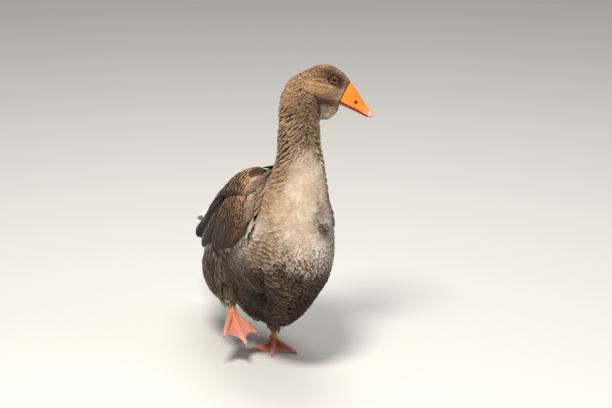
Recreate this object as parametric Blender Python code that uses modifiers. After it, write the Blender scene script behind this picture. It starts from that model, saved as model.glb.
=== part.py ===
"""A grey farmyard goose with a folded paunch, life size, stepping: left foot flat, right foot lifted.

Metres, +Z up. The goose walks towards -Y and its left side is +X. The origin is on the floor, under the
middle of its bounding box. The head is turned to its left.
"""

import math

import bmesh
import bpy
import numpy as np
from mathutils import Matrix, Vector

# Driving dimensions
BODY_SHIFT = Vector((-0.0121, 0.0080, 0.0))  # from the drawing frame below to the origin
JOINT_GAP = 0.0003                            # between touching pieces
BODY_SIDES = 32                               # points round the body and the neck
HEAD_SIDES = 20

# The body and neck as sections from rump to nape. Each one lies in a plane through its back point and its
# belly point: side shift, back y, back z, belly y, belly z, half width, level of the widest place (0 back,
# 1 belly), depth of the groove between the two lobes of the paunch, how much the underside narrows, how
# square the shoulders are.
BODY_SECTIONS = (
    (0.000, 0.172, 0.226, 0.184, 0.164, 0.026, 0.50, 0.000, 0.0, 0.00),
    (0.000, 0.140, 0.249, 0.170, 0.121, 0.047, 0.52, 0.000, 0.2, 0.00),
    (0.000, 0.100, 0.280, 0.139, 0.088, 0.062, 0.54, 0.003, 0.4, 0.06),
    (0.000, 0.055, 0.313, 0.097, 0.066, 0.072, 0.53, 0.009, 0.5, 0.12),
    (0.000, 0.005, 0.344, 0.040, 0.060, 0.079, 0.51, 0.014, 0.7, 0.18),
    (-0.001, -0.045, 0.366, -0.015, 0.054, 0.085, 0.48, 0.016, 0.9, 0.22),
    (-0.001, -0.090, 0.380, -0.072, 0.055, 0.089, 0.46, 0.015, 1.0, 0.24),
    (-0.001, -0.122, 0.389, -0.128, 0.066, 0.089, 0.46, 0.011, 1.0, 0.22),
    (0.000, -0.141, 0.395, -0.184, 0.089, 0.088, 0.47, 0.006, 0.9, 0.18),
    (0.002, -0.152, 0.401, -0.234, 0.125, 0.084, 0.49, 0.002, 0.7, 0.12),
    (0.004, -0.160, 0.407, -0.270, 0.170, 0.080, 0.50, 0.000, 0.2, 0.06),
    (0.005, -0.165, 0.414, -0.290, 0.221, 0.073, 0.50, 0.000, 0.0, 0.00),
    (0.007, -0.169, 0.424, -0.297, 0.274, 0.064, 0.50, 0.000, 0.0, 0.00),
    (0.010, -0.173, 0.437, -0.292, 0.326, 0.055, 0.50, 0.000, 0.0, 0.00),
    (0.013, -0.176, 0.452, -0.280, 0.372, 0.047, 0.50, 0.000, 0.0, 0.00),
    (0.015, -0.177, 0.471, -0.267, 0.413, 0.043, 0.50, 0.000, 0.0, 0.00),
    (0.0150, -0.177, 0.493, -0.255, 0.450, 0.0395, 0.50, 0.000, 0.0, 0.00),
    (0.0160, -0.176, 0.518, -0.248, 0.486, 0.0370, 0.50, 0.000, 0.0, 0.00),
    (0.0175, -0.174, 0.545, -0.245, 0.519, 0.0365, 0.50, 0.000, 0.0, 0.00),
    (0.0215, -0.171, 0.571, -0.243, 0.549, 0.0370, 0.50, 0.000, 0.0, 0.00),
    (0.0275, -0.174, 0.592, -0.240, 0.575, 0.0320, 0.50, 0.000, 0.0, 0.00),
    (0.034, -0.184, 0.607, -0.230, 0.597, 0.0240, 0.50, 0.000, 0.0, 0.00),
    (0.040, -0.196, 0.616, -0.222, 0.610, 0.0120, 0.50, 0.000, 0.0, 0.00),
)
GROOVE_SPREAD = 0.30                 # radians each side of the belly line
NECK_BASE_SECTION = 13               # the neck is parted from the torso in this section's plane

# The neck's furrows: ridges that run down and back over its sides, towards the nape
NECK_SIDES = 46
NECK_FIRST_SECTION, NECK_LAST_SECTION = 11, 20
FURROWS = 6                          # on each side, from nape to throat
FURROW_HEIGHT = 0.0032
FURROW_TWIST = 0.30                  # furrows that a ridge shifts forward from one ring up to the next

# The head in its own frame: s forward along the bill, t up, q to its left side
SKULL_PLACE = Vector((0.059, -0.215, 0.593))
SKULL_TURN = math.radians(53.0)      # to its left, from straight ahead
SKULL_DROOP = math.radians(25.0)
HEAD_SECTIONS = (                    # s, top t, low t, half width
    (-0.0430, -0.013, -0.024, 0.010),
    (-0.0395, -0.004, -0.033, 0.018),
    (-0.0340, 0.0070, -0.040, 0.0245),
    (-0.0260, 0.0205, -0.044, 0.0290),
    (-0.0150, 0.0315, -0.044, 0.0312),
    (-0.0020, 0.0380, -0.040, 0.0310),
    (0.0120, 0.0400, -0.036, 0.0295),
    (0.0250, 0.0392, -0.032, 0.0275),
    (0.0360, 0.0362, -0.0275, 0.0245),
    (0.0450, 0.0325, -0.0235, 0.0210),
    (0.0515, 0.0300, -0.0205, 0.0185),
)
NAPE_CUT_PLACE = Vector((0.020, -0.214, 0.540))
NAPE_CUT_LEAN = math.radians(30.0)   # the cut between neck and head drops towards the throat
DEWLAP = (0.031, -0.041, 0.028, 0.0200, 0.0105, math.radians(50))   # s, t, half length, half depth, half width, slope

EYE_PLACE = (0.0245, 0.0240)         # s, t of the eye's middle
EYE_SIDE = 0.0178                    # q of the eye's middle
EYE_RADIUS = 0.0078
LID_RADIUS = 0.0084
LID_THICKNESS = 0.0017
LID_OUT = 0.0052                     # from the eye's middle to the plane of its lids
LID_TURN, LID_LEAN = math.radians(10), math.radians(26)   # forward, and up

UPPER_BILL_SECTIONS = (              # s, culmen t, edge t, half width
    (0.0518, 0.0295, -0.0105, 0.0172),
    (0.0580, 0.0262, -0.0100, 0.0168),
    (0.0660, 0.0215, -0.0098, 0.0160),
    (0.0760, 0.0150, -0.0102, 0.0148),
    (0.0860, 0.0091, -0.0107, 0.0136),
    (0.0960, 0.0038, -0.0112, 0.0126),
    (0.1050, -0.0004, -0.0116, 0.0116),
    (0.1120, -0.0038, -0.0120, 0.0100),
    (0.1165, -0.0068, -0.0124, 0.0070),
    (0.1185, -0.0092, -0.0128, 0.0035),
)
LOWER_BILL_SECTIONS = (              # s, edge t, keel t, half width
    (0.0518, -0.0108, -0.0200, 0.0150),
    (0.0580, -0.0103, -0.0194, 0.0147),
    (0.0660, -0.0101, -0.0187, 0.0140),
    (0.0760, -0.0105, -0.0180, 0.0130),
    (0.0860, -0.0110, -0.0174, 0.0120),
    (0.0960, -0.0115, -0.0169, 0.0110),
    (0.1050, -0.0119, -0.0167, 0.0097),
    (0.1120, -0.0123, -0.0164, 0.0070),
)
NOSTRIL = (0.0800, 0.0030, 0.0052, 0.0022)   # s, t, half length, half height
NOSTRIL_DEPTH = 0.004

# The folded wing lies on a hull of its own, a little outside the body and longer than it: as the body's
# sections, without the groove
WING_SECTIONS = (
    (0.003, -0.168, 0.420, -0.300, 0.215, 0.080, 0.50, 0.0, 0.0, 0.00),
    (0.003, -0.162, 0.416, -0.272, 0.160, 0.088, 0.50, 0.0, 0.0, 0.06),
    (0.003, -0.150, 0.411, -0.225, 0.108, 0.094, 0.50, 0.0, 0.0, 0.14),
    (0.002, -0.122, 0.403, -0.150, 0.064, 0.098, 0.50, 0.0, 0.0, 0.22),
    (0.001, -0.080, 0.391, -0.080, 0.044, 0.097, 0.50, 0.0, 0.0, 0.24),
    (0.000, -0.030, 0.371, -0.010, 0.042, 0.091, 0.50, 0.0, 0.0, 0.22),
    (0.000, 0.025, 0.343, 0.058, 0.050, 0.083, 0.50, 0.0, 0.0, 0.18),
    (0.000, 0.078, 0.310, 0.110, 0.072, 0.074, 0.50, 0.0, 0.0, 0.12),
    (0.000, 0.128, 0.276, 0.154, 0.100, 0.064, 0.50, 0.0, 0.0, 0.06),
    (0.000, 0.174, 0.243, 0.190, 0.122, 0.056, 0.50, 0.0, 0.0, 0.00),
    (0.000, 0.214, 0.215, 0.224, 0.132, 0.049, 0.50, 0.0, 0.0, 0.00),
    (0.000, 0.246, 0.194, 0.250, 0.138, 0.042, 0.50, 0.0, 0.0, 0.00),
)
WING_THICKNESS = 0.011
WING_RIM = 0.45                      # thickness at the rim, as a share
WING_ACROSS = 6                      # points across the wing's root plate
WING_STATIONS = (                    # share of the hull's length, upper angle, lower angle (degrees from the back)
    (0.045, 50.0, 62.0),
    (0.075, 40.0, 74.0),
    (0.130, 26.0, 80.0),
    (0.220, 12.0, 80.0),
    (0.320, 6.0, 78.0),
    (0.420, 5.0, 78.0),
    (0.520, 10.0, 80.0),
    (0.600, 24.0, 84.0),
    (0.650, 42.0, 84.0),
)

# Feathers of the wing, tier by tier. Each tier's roots run from a first to a last place on the hull (share,
# degrees) and its tips from a first to a last angle; then count, length, width, lift at the root and at the
# tip, roll towards the next feather (degrees), drop from each feather to the next, how pointed the tip is.
WING_TIERS = (
    ("primaries", (0.555, 58.0), (0.600, 80.0), (76.0, 88.0), 5, 0.206, 0.022, -0.0040, -0.0010, 2.0, 0.0014, 0.8),
    ("secondaries", (0.400, 48.0), (0.500, 77.0), (60.0, 88.0), 6, 0.112, 0.032, -0.0035, 0.0010, 7.0, 0.0, 0.2),
    ("tertials", (0.440, 14.0), (0.470, 40.0), (32.0, 62.0), 4, 0.135, 0.036, -0.0030, 0.0065, 6.0, 0.0, 0.3),
    ("greater coverts", (0.270, 40.0), (0.370, 75.0), (42.0, 80.0), 5, 0.074, 0.036, -0.0030, 0.0040, 6.0, 0.0, 0.1),
    ("median coverts", (0.175, 36.0), (0.255, 75.0), (38.0, 78.0), 5, 0.058, 0.034, -0.0030, 0.0040, 6.0, 0.0, 0.1),
    ("lesser coverts", (0.105, 42.0), (0.160, 73.0), (42.0, 76.0), 4, 0.050, 0.032, -0.0028, 0.0040, 6.0, 0.0, 0.1),
    ("shoulder coverts", (0.068, 48.0), (0.095, 68.0), (48.0, 70.0), 3, 0.042, 0.027, -0.0025, 0.0040, 6.0, 0.0, 0.1),
    ("hind scapulars", (0.310, 13.0), (0.330, 32.0), (16.0, 38.0), 3, 0.100, 0.040, -0.0030, 0.0090, 6.0, 0.0, 0.2),
    ("fore scapulars", (0.170, 20.0), (0.185, 33.0), (17.0, 36.0), 3, 0.088, 0.036, -0.0030, 0.0070, 6.0, 0.0, 0.2),
)
VANE_THICKNESS = 0.0009
LONG_VANE = 0.12                     # from this length on, a feather has one more step along it
VANE_STEPS = ((0.0, 0.60), (0.50, 1.0), (0.86, 0.82), (1.0, 0.36))                 # share of length, of width
LONG_VANE_STEPS = ((0.0, 0.60), (0.35, 0.94), (0.68, 1.0), (0.90, 0.80), (1.0, 0.34))
WING_SEEDS = {-1: 11, 1: 29}

TAIL_ROOT = Vector((0.0, 0.174, 0.203))
TAIL_BASE_LENGTH = 0.046
TAIL_BASE_WIDTH = 0.026              # half width where it leaves the rump
TAIL_BASE_THICKNESS = 0.020
TAIL_ARCH = 1.6                      # fall to each side, per metre, squared
TAIL_RISE = math.radians(1.0)
TAIL_SWING = math.radians(7.0)       # to its left
# Feathers of the tail: fan each side of the middle (degrees), root's distance out, count, length, width,
# height of the root over the tail's own plane, rise of the tips, drop from the middle to the outermost.
TAIL_TIERS = (
    ("rectrices", 11.0, 0.022, 11, 0.086, 0.024, 0.0015, 0.0, 0.0100),
    ("upper coverts", 9.0, 0.012, 5, 0.062, 0.024, 0.0060, 0.0035, 0.0050),
    ("under coverts", 9.0, 0.010, 5, 0.070, 0.025, -0.0070, -0.0120, -0.0030),
)
TAIL_SEED = 5

# Legs: each foot in its own frame, toes along -Y from the joint over the origin
STANCE_JOINT = Vector((0.034, -0.026, 0.0))
STANCE_YAW = math.radians(-24.0)
LIFTED_JOINT = Vector((-0.078, -0.070, 0.093))
LIFTED_YAW = math.radians(6.0)
LIFTED_PITCH = math.radians(33.0)
LIFTED_ROLL = math.radians(16.0)
TOES = (                             # name, length, spread (degrees from the middle toe, + to the outer side)
    ("inner", 0.066, -38.0),
    ("middle", 0.082, 0.0),
    ("outer", 0.078, 36.0),
)
TOE_RADIUS = 0.0062
TOE_TIP_RADIUS = 0.0042
TOE_SIDES = 8
JOINT_HEIGHT = 0.0095
WEB_THICKNESS = 0.0016
WEB_REACH, WEB_HOLLOW = 0.94, 0.11     # of the toes' length, and lost halfway between two toes
CLAW_LENGTH = 0.0085
TARSUS_HALF_WIDTH = 0.0058
TARSUS_HALF_DEPTH = 0.0074
STUB_LENGTH = 0.0105                 # of the shank, on the foot's own node
STANCE_SHANK_WAY = Vector((0.12, 0.20, 1.0)).normalized()
LIFTED_SHANK_WAY = Vector((0.05, 0.35, 0.93)).normalized()
STANCE_SHANK_LENGTH = 0.070          # before the feathers cover it
LIFTED_SHANK_LENGTH = 0.045

# Thighs: middle, half sizes, rise of the front end
THIGH_LEFT = (Vector((0.038, -0.006, 0.138)), Vector((0.044, 0.088, 0.084)), math.radians(9.0))
THIGH_RIGHT = (Vector((-0.055, -0.002, 0.165)), Vector((0.044, 0.092, 0.068)), math.radians(13.0))

COLOURS = {                          # base colour, roughness
    "plumage": ((0.32, 0.25, 0.19, 1.0), 0.85),
    "pale plumage": ((0.55, 0.47, 0.38, 1.0), 0.85),
    "wing": ((0.16, 0.12, 0.09, 1.0), 0.75),
    "tail": ((0.35, 0.31, 0.27, 1.0), 0.75),
    "bill": ((0.90, 0.33, 0.04, 1.0), 0.45),
    "skin of the legs": ((0.88, 0.36, 0.20, 1.0), 0.55),
    "eye": ((0.05, 0.02, 0.01, 1.0), 0.08),
    "claw": ((0.55, 0.42, 0.30, 1.0), 0.50),
}


def clear_scene():
    for obj in list(bpy.data.objects):
        bpy.data.objects.remove(obj)


def new_collection(name):
    collection = bpy.data.collections.new(name)
    bpy.context.scene.collection.children.link(collection)
    return collection


def material(name):
    found = bpy.data.materials.get(name)
    if found:
        return found
    made = bpy.data.materials.new(name)
    made.use_nodes = True
    colour, roughness = COLOURS[name]
    shader = made.node_tree.nodes["Principled BSDF"]
    shader.inputs["Base Color"].default_value = colour
    shader.inputs["Roughness"].default_value = roughness
    shader.inputs["Metallic"].default_value = 0.0
    return made


def object_from(bm, name):
    mesh = bpy.data.meshes.new(name)
    bm.to_mesh(mesh)
    bm.free()
    obj = bpy.data.objects.new(name, mesh)
    bpy.context.scene.collection.objects.link(obj)
    return obj


def evaluated_mesh(obj):
    graph = bpy.context.evaluated_depsgraph_get()
    return bpy.data.meshes.new_from_object(obj.evaluated_get(graph), depsgraph=graph)


def apply_modifiers(obj):
    mesh = evaluated_mesh(obj)
    obj.modifiers.clear()
    old, obj.data = obj.data, mesh
    bpy.data.meshes.remove(old)


def remove(obj):
    mesh = obj.data
    bpy.data.objects.remove(obj)
    bpy.data.meshes.remove(mesh)


def copy_of(obj, name):
    twin = bpy.data.objects.new(name, obj.data.copy())
    bpy.context.scene.collection.objects.link(twin)
    return twin


def smooth_rows(rows, per_gap):
    """A Catmull-Rom curve through the rows of a table, with per_gap steps between each two."""
    rows = np.array(rows, float)
    before = np.vstack([2 * rows[0] - rows[1], rows, 2 * rows[-1] - rows[-2]])
    out = []
    for i in range(len(rows) - 1):
        p0, p1, p2, p3 = before[i:i + 4]
        for k in range(per_gap):
            f = k / per_gap
            out.append(0.5 * (2 * p1 + (p2 - p0) * f + (2 * p0 - 5 * p1 + 4 * p2 - p3) * f * f
                              + (3 * p1 - p0 - 3 * p2 + p3) * f ** 3))
    out.append(rows[-1])
    return np.array(out)


def row_at(rows, share):
    """The row at a share of a table's length, smoothly between its rows."""
    rows = np.array(rows, float)
    before = np.vstack([2 * rows[0] - rows[1], rows, 2 * rows[-1] - rows[-2]])
    place = min(max(share, 0.0), 1.0) * (len(rows) - 1)
    i = min(int(place), len(rows) - 2)
    f = place - i
    p0, p1, p2, p3 = before[i:i + 4]
    return 0.5 * (2 * p1 + (p2 - p0) * f + (2 * p0 - 5 * p1 + 4 * p2 - p3) * f * f
                  + (3 * p1 - p0 - 3 * p2 + p3) * f ** 3)


def section_point(row, angle):
    """A point of a body section: angle 0 is the back, + towards the goose's left, pi the belly."""
    shift, back_y, back_z, belly_y, belly_z, half_width, level, groove, keel, shoulder = row
    back, belly = np.array((shift, back_y, back_z)), np.array((shift, belly_y, belly_z))
    middle = back + (belly - back) * level
    side, up = math.sin(angle), math.cos(angle)
    side = math.copysign(abs(side) ** (1 + keel if up < 0 else 1 - shoulder), side)
    point = middle + up * ((back - middle) if up > 0 else (middle - belly))
    point[0] += side * half_width
    from_belly = (abs(angle) % (2 * math.pi) - math.pi) / GROOVE_SPREAD
    depth = groove * math.exp(-from_belly * from_belly)
    return point + (middle - belly) / np.linalg.norm(middle - belly) * depth


def loft(name, rings):
    """A closed mesh of triangles through rings of points, with flat caps."""
    bm = bmesh.new()
    loops = [[bm.verts.new(point) for point in ring] for ring in rings]
    count = len(loops[0])
    for a, b in zip(loops, loops[1:]):
        for i in range(count):
            bm.faces.new((a[i - 1], a[i], b[i], b[i - 1]))
    bm.faces.new(loops[0])
    bm.faces.new(reversed(loops[-1]))
    bmesh.ops.triangulate(bm, faces=bm.faces)
    bmesh.ops.recalc_face_normals(bm, faces=bm.faces)
    return object_from(bm, name)


def ellipsoid(name, middle, half_sizes, turn=None, segments=24, rings=16):
    bm = bmesh.new()
    bmesh.ops.create_uvsphere(bm, u_segments=segments, v_segments=rings, radius=1.0)
    matrix = Matrix.Translation(middle) @ (turn or Matrix.Identity(4)) @ Matrix.Diagonal((*half_sizes, 1.0))
    bmesh.ops.transform(bm, matrix=matrix, verts=bm.verts)
    return object_from(bm, name)


def keep_largest(obj):
    """Leaves only the largest closed surface of a mesh."""
    bm = bmesh.new()
    bm.from_mesh(obj.data)
    left, islands = set(bm.verts), []
    while left:
        stack, island = [left.pop()], []
        while stack:
            vert = stack.pop()
            island.append(vert)
            for edge in vert.link_edges:
                other = edge.other_vert(vert)
                if other in left:
                    left.discard(other)
                    stack.append(other)
        islands.append(island)
    islands.sort(key=len, reverse=True)
    for island in islands[1:]:
        bmesh.ops.delete(bm, geom=island, context="VERTS")
    bm.to_mesh(obj.data)
    bm.free()


def fuse(obj, pieces):
    """Joins closed pieces to obj by one union and removes them."""
    group = new_collection("pieces of " + obj.name)
    for piece in pieces:
        group.objects.link(piece)
    union = obj.modifiers.new("join", "BOOLEAN")
    union.operation = "UNION"
    union.operand_type = "COLLECTION"
    union.collection = group
    union.solver = "MANIFOLD"
    bpy.context.view_layer.update()
    apply_modifiers(obj)
    for piece in pieces:
        remove(piece)
    bpy.data.collections.remove(group)
    keep_largest(obj)


def cut(obj, cutter):
    difference = obj.modifiers.new("cut", "BOOLEAN")
    difference.operation = "DIFFERENCE"
    difference.object = cutter
    difference.solver = "MANIFOLD"
    bpy.context.view_layer.update()
    apply_modifiers(obj)
    keep_largest(obj)


def triangulate(obj):
    bm = bmesh.new()
    bm.from_mesh(obj.data)
    bmesh.ops.triangulate(bm, faces=bm.faces)
    bm.to_mesh(obj.data)
    bm.free()


def swollen(obj, gap):
    """A copy of obj with its surface pushed out by gap, to cut a neighbour with. Both get the same triangles."""
    triangulate(obj)
    twin = copy_of(obj, obj.name + " swollen")
    normals = [vertex.normal.copy() for vertex in twin.data.vertices]
    for vertex, normal in zip(twin.data.vertices, normals):
        vertex.co += normal * gap
    return twin


def fit_against(obj, *neighbours, gap=JOINT_GAP):
    """Cuts obj back from its neighbours, leaving the gap."""
    for neighbour in neighbours:
        cutter = swollen(neighbour, gap * 1.4)
        cut(obj, cutter)
        remove(cutter)


def part_by_plane(whole, name, planes):
    """A copy of whole, kept on the side that each plane's normal points to."""
    piece = copy_of(whole, name)
    bm = bmesh.new()
    bm.from_mesh(piece.data)
    for place, normal in planes:
        geometry = bm.verts[:] + bm.edges[:] + bm.faces[:]
        bmesh.ops.bisect_plane(bm, geom=geometry, plane_co=place + normal * (JOINT_GAP / 2),
                               plane_no=normal, clear_inner=True, dist=1e-6)
        rim = [edge for edge in bm.edges if edge.is_boundary]
        bmesh.ops.holes_fill(bm, edges=rim)
    bmesh.ops.recalc_face_normals(bm, faces=bm.faces)
    bm.to_mesh(piece.data)
    bm.free()
    keep_largest(piece)
    return piece


def finish(obj, node, material_name, model):
    """Names the node, gives it its finish and puts it in the model's own frame."""
    obj.name = node
    obj.data.name = node
    obj.data.transform(Matrix.Translation(BODY_SHIFT))
    obj.data.materials.clear()
    obj.data.materials.append(material(material_name))
    obj.data.shade_smooth()
    obj.data.set_sharp_from_angle(angle=math.radians(50))
    for collection in list(obj.users_collection):
        collection.objects.unlink(obj)
    model.objects.link(obj)
    return obj


def head_matrix():
    """From the head's own s, q, t to the drawing frame."""
    forward = Vector((math.sin(SKULL_TURN) * math.cos(SKULL_DROOP),
                      -math.cos(SKULL_TURN) * math.cos(SKULL_DROOP), -math.sin(SKULL_DROOP)))
    side = Vector((0, 0, 1)).cross(forward).normalized()
    up = forward.cross(side)
    matrix = Matrix.Identity(4)
    for column, axis in enumerate((forward, side, up)):
        for row in range(3):
            matrix[row][column] = axis[row]
    matrix.translation = SKULL_PLACE
    return matrix


def head_ring(s, top, low, half_width, sides, boxy=1.0):
    """A section of the head or bill across s, rounder or boxier by its power."""
    middle, half_height = (top + low) / 2, (top - low) / 2
    ring = []
    for i in range(sides):
        angle = 2 * math.pi * i / sides
        side, up = math.sin(angle), math.cos(angle)
        q = math.copysign(abs(side) ** boxy, side) * half_width
        t = middle + math.copysign(abs(up) ** boxy, up) * half_height
        ring.append(Vector((s, q, t)))
    return ring


def bill_ring(s, edge, crest, half_width, sides):
    """A section of half the bill: flat along the mouth's edge, round over the crest."""
    ring = []
    for i in range(sides):
        angle = 2 * math.pi * i / sides
        side, up = math.sin(angle), math.cos(angle)
        lean = side if up < 0 else math.copysign(abs(side) ** 0.85, side)
        ring.append(Vector((s, lean * half_width, edge + max(up, 0.0) * (crest - edge))))
    return ring


def body_and_neck():
    angles = [2 * math.pi * i / BODY_SIDES for i in range(BODY_SIDES)]
    return loft("body", [[section_point(row, angle) for angle in angles] for row in BODY_SECTIONS])


def furrowed_neck():
    """The neck alone, with its ridges, longer at both ends than the node."""
    rows = smooth_rows(BODY_SECTIONS[NECK_FIRST_SECTION:NECK_LAST_SECTION + 1], 2)
    rings = []
    for level, row in enumerate(rows):
        fade = math.sin(math.pi * min(1.0, max(0.0, (level - 2.5) / 10.0)) / 2)
        ring = []
        for i in range(NECK_SIDES):
            angle = 2 * math.pi * (i if i <= NECK_SIDES // 2 else i - NECK_SIDES) / NECK_SIDES
            point = section_point(row, angle)
            middle = (section_point(row, 0.0) + section_point(row, math.pi)) / 2
            out = (point - middle) / np.linalg.norm(point - middle)
            spread = min(1.0, max(0.0, (2.45 - abs(angle)) / 0.7))
            wave = 0.5 + 0.5 * math.cos(2 * math.pi * (FURROWS * abs(angle) / math.pi - FURROW_TWIST * level))
            ring.append(point + out * (FURROW_HEIGHT * fade * spread * (wave - 0.4)))
        rings.append(ring)
    return loft("furrowed neck", rings)


def skull():
    piece = loft("skull", [head_ring(*row, HEAD_SIDES, 0.92) for row in HEAD_SECTIONS])
    piece.data.transform(head_matrix())
    return piece


def dewlap():
    s, t, half_length, half_depth, half_width, slope = DEWLAP
    turn = Matrix.Rotation(-slope, 4, "Y")
    piece = ellipsoid("dewlap", Vector((s, 0, t)), (half_length, half_width, half_depth), turn, 12, 10)
    piece.data.transform(head_matrix())
    return piece


def flesh(model):
    """Body, neck, skull and dewlap made whole, then parted by thin cuts."""
    whole = body_and_neck()
    fuse(whole, [skull(), dewlap()])
    base = BODY_SECTIONS[NECK_BASE_SECTION]
    along = Vector((0, base[3] - base[1], base[4] - base[2]))
    neck_place = Vector((0, base[1], base[2]))
    neck_way = along.cross(Vector((1, 0, 0))).normalized()
    nape_way = Vector((math.sin(SKULL_TURN) * math.sin(NAPE_CUT_LEAN),
                       -math.cos(SKULL_TURN) * math.sin(NAPE_CUT_LEAN), math.cos(NAPE_CUT_LEAN)))
    torso = part_by_plane(whole, "torso", [(neck_place, -neck_way)])
    ridged = furrowed_neck()
    neck = part_by_plane(ridged, "neck", [(neck_place, neck_way), (NAPE_CUT_PLACE, -nape_way)])
    remove(ridged)
    head = part_by_plane(whole, "head", [(NAPE_CUT_PLACE, nape_way)])
    remove(whole)
    return torso, neck, head


def lid_ring(side):
    bm = bmesh.new()
    around, across = 16, 5
    loops = []
    for i in range(around):
        angle = 2 * math.pi * i / around
        out = Vector((math.cos(angle), 0, math.sin(angle)))
        loops.append([bm.verts.new(out * (LID_RADIUS + LID_THICKNESS * math.cos(turn))
                                   + Vector((0, LID_THICKNESS * math.sin(turn), 0)))
                      for turn in (2 * math.pi * k / across for k in range(across))])
    for i in range(around):
        a, b = loops[i - 1], loops[i]
        for k in range(across):
            bm.faces.new((a[k - 1], a[k], b[k], b[k - 1]))
    bmesh.ops.recalc_face_normals(bm, faces=bm.faces)
    ring = object_from(bm, "lid")
    place = Matrix.Translation((EYE_PLACE[0], side * (EYE_SIDE + LID_OUT), EYE_PLACE[1]))
    lean = Matrix.Rotation(-side * LID_TURN, 4, "Z") @ Matrix.Rotation(side * LID_LEAN, 4, "X")
    ring.data.transform(head_matrix() @ place @ lean @ Matrix.Diagonal((1.12, 1.0, 0.92, 1.0)))
    return ring


def eyes(head):
    """The eyeballs, each in a socket cut in the head inside its ring of lid."""
    fuse(head, [lid_ring(side) for side in (-1, 1)])
    balls = []
    for side in (-1, 1):
        middle = head_matrix() @ Vector((EYE_PLACE[0], side * EYE_SIDE, EYE_PLACE[1]))
        socket = ellipsoid("socket", middle, (EYE_RADIUS + JOINT_GAP * 1.5,) * 3, None, 16, 12)
        cut(head, socket)
        remove(socket)
        balls.append(ellipsoid("eye", middle, (EYE_RADIUS,) * 3, None, 14, 10))
    return balls


def bill():
    upper = loft("upper bill", [bill_ring(s, edge, culmen, half_width, 20)
                                for s, culmen, edge, half_width in UPPER_BILL_SECTIONS])
    s, t, half_length, half_height = NOSTRIL
    for side in (-1, 1):
        row = row_at(UPPER_BILL_SECTIONS, 0.335)
        slot = ellipsoid("nostril", Vector((s, side * row[3] * 0.93, t)),
                         (half_length, NOSTRIL_DEPTH, half_height), Matrix.Rotation(0.35, 4, "Y"), 12, 8)
        cut(upper, slot)
        remove(slot)
    lower = loft("lower bill", [bill_ring(*row, 16) for row in LOWER_BILL_SECTIONS])
    for piece in (upper, lower):
        piece.data.transform(Matrix.Translation((JOINT_GAP, 0, 0)))
        piece.data.transform(head_matrix())
    return upper, lower


def wing_hull(share, degrees, side):
    point = section_point(row_at(WING_SECTIONS, share), math.radians(degrees))
    return Vector((point[0] * side, point[1], point[2]))


def wing_normal(share, degrees, side):
    along = wing_hull(share + 0.004, degrees, side) - wing_hull(share - 0.004, degrees, side)
    around = wing_hull(share, degrees + 2.0, side) - wing_hull(share, degrees - 2.0, side)
    return around.cross(along).normalized() * side


def on_wing(share, degrees, lift, side):
    """A point of the wing's hull, lifted off it along its own normal."""
    return wing_hull(share, degrees, side) + wing_normal(share, degrees, side) * lift


def wing_plate(side):
    """The root of the folded wing: a leaf of the hull that its feathers grow from."""
    rings = []
    for share, upper, lower in WING_STATIONS:
        outer, inner = [], []
        for k in range(WING_ACROSS):
            f = k / (WING_ACROSS - 1)
            degrees = upper + (lower - upper) * f
            thick = WING_THICKNESS * (WING_RIM + (1 - WING_RIM) * math.sin(math.pi * f) ** 0.6)
            outer.append(on_wing(share, degrees, 0.0, side))
            inner.append(on_wing(share, degrees, -thick, side))
        rings.append(outer + inner[::-1])
    return loft("wing", rings)


def vane_steps(length):
    return LONG_VANE_STEPS if length >= LONG_VANE else VANE_STEPS


def vane(spine, normals, steps, width, roll, point):
    """One feather: a thin vane along a spine, both faces triangulated alike, its tip more or less pointed."""
    bm = bmesh.new()
    loops = []
    for i, (share, broad) in enumerate(steps):
        along = (spine[min(i + 1, len(spine) - 1)] - spine[max(i - 1, 0)]).normalized()
        side = along.cross(normals[i]).normalized()
        up = side.cross(along)
        side, up = side * math.cos(roll) + up * math.sin(roll), up * math.cos(roll) - side * math.sin(roll)
        half = width / 2 * broad * (1 - point * max(0.0, share - 0.4))
        corners = ((-half, 1), (half, 1), (half, -1), (-half, -1))
        loops.append([bm.verts.new(spine[i] + side * across + up * (face * VANE_THICKNESS / 2))
                      for across, face in corners])
    for a, b in zip(loops, loops[1:]):
        for i, k in ((0, 1), (3, 2), (1, 2), (0, 3)):
            bm.faces.new((a[i], a[k], b[k]))
            bm.faces.new((a[i], b[k], b[i]))
    for loop in (loops[0], loops[-1]):
        bm.faces.new((loop[0], loop[1], loop[2]))
        bm.faces.new((loop[0], loop[2], loop[3]))
    bmesh.ops.recalc_face_normals(bm, faces=bm.faces)
    return object_from(bm, "vane")


def wing_vane(side, root, tip_degrees, length, width, lifts, roll, point):
    """A feather that lies along the wing's hull, from a root to the tip's angle."""
    start = wing_hull(*root, side)
    low, high = root[0], 1.0
    for _ in range(20):
        middle = (low + high) / 2
        if (wing_hull(middle, tip_degrees, side) - start).length < length:
            low = middle
        else:
            high = middle
    steps = vane_steps(length)
    spine, normals = [], []
    for share, _ in steps:
        place = root[0] + (low - root[0]) * share
        degrees = root[1] + (tip_degrees - root[1]) * share
        lift = lifts[0] + (lifts[1] - lifts[0]) * share ** 0.7
        spine.append(on_wing(place, degrees, lift, side))
        normals.append(wing_normal(place, degrees, side))
    return vane(spine, normals, steps, width, -roll * side, point)


def wing(side):
    """The folded wing with its feathers in tiers."""
    rng = np.random.default_rng(WING_SEEDS[side])
    pieces = []
    for _, first, last, tips, count, length, width, root_lift, tip_lift, roll, drop, point in WING_TIERS:
        for i in range(count):
            f = i / (count - 1)
            root = (first[0] + (last[0] - first[0]) * f, first[1] + (last[1] - first[1]) * f)
            tip = tips[0] + (tips[1] - tips[0]) * f + rng.uniform(-0.6, 0.6)
            lifts = (root_lift - drop * i, tip_lift - drop * i)
            pieces.append(wing_vane(side, root, tip, length * rng.uniform(0.95, 1.05),
                                    width * rng.uniform(0.97, 1.03), lifts, math.radians(roll), point))
    whole = wing_plate(side)
    fuse(whole, pieces)
    return whole


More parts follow.
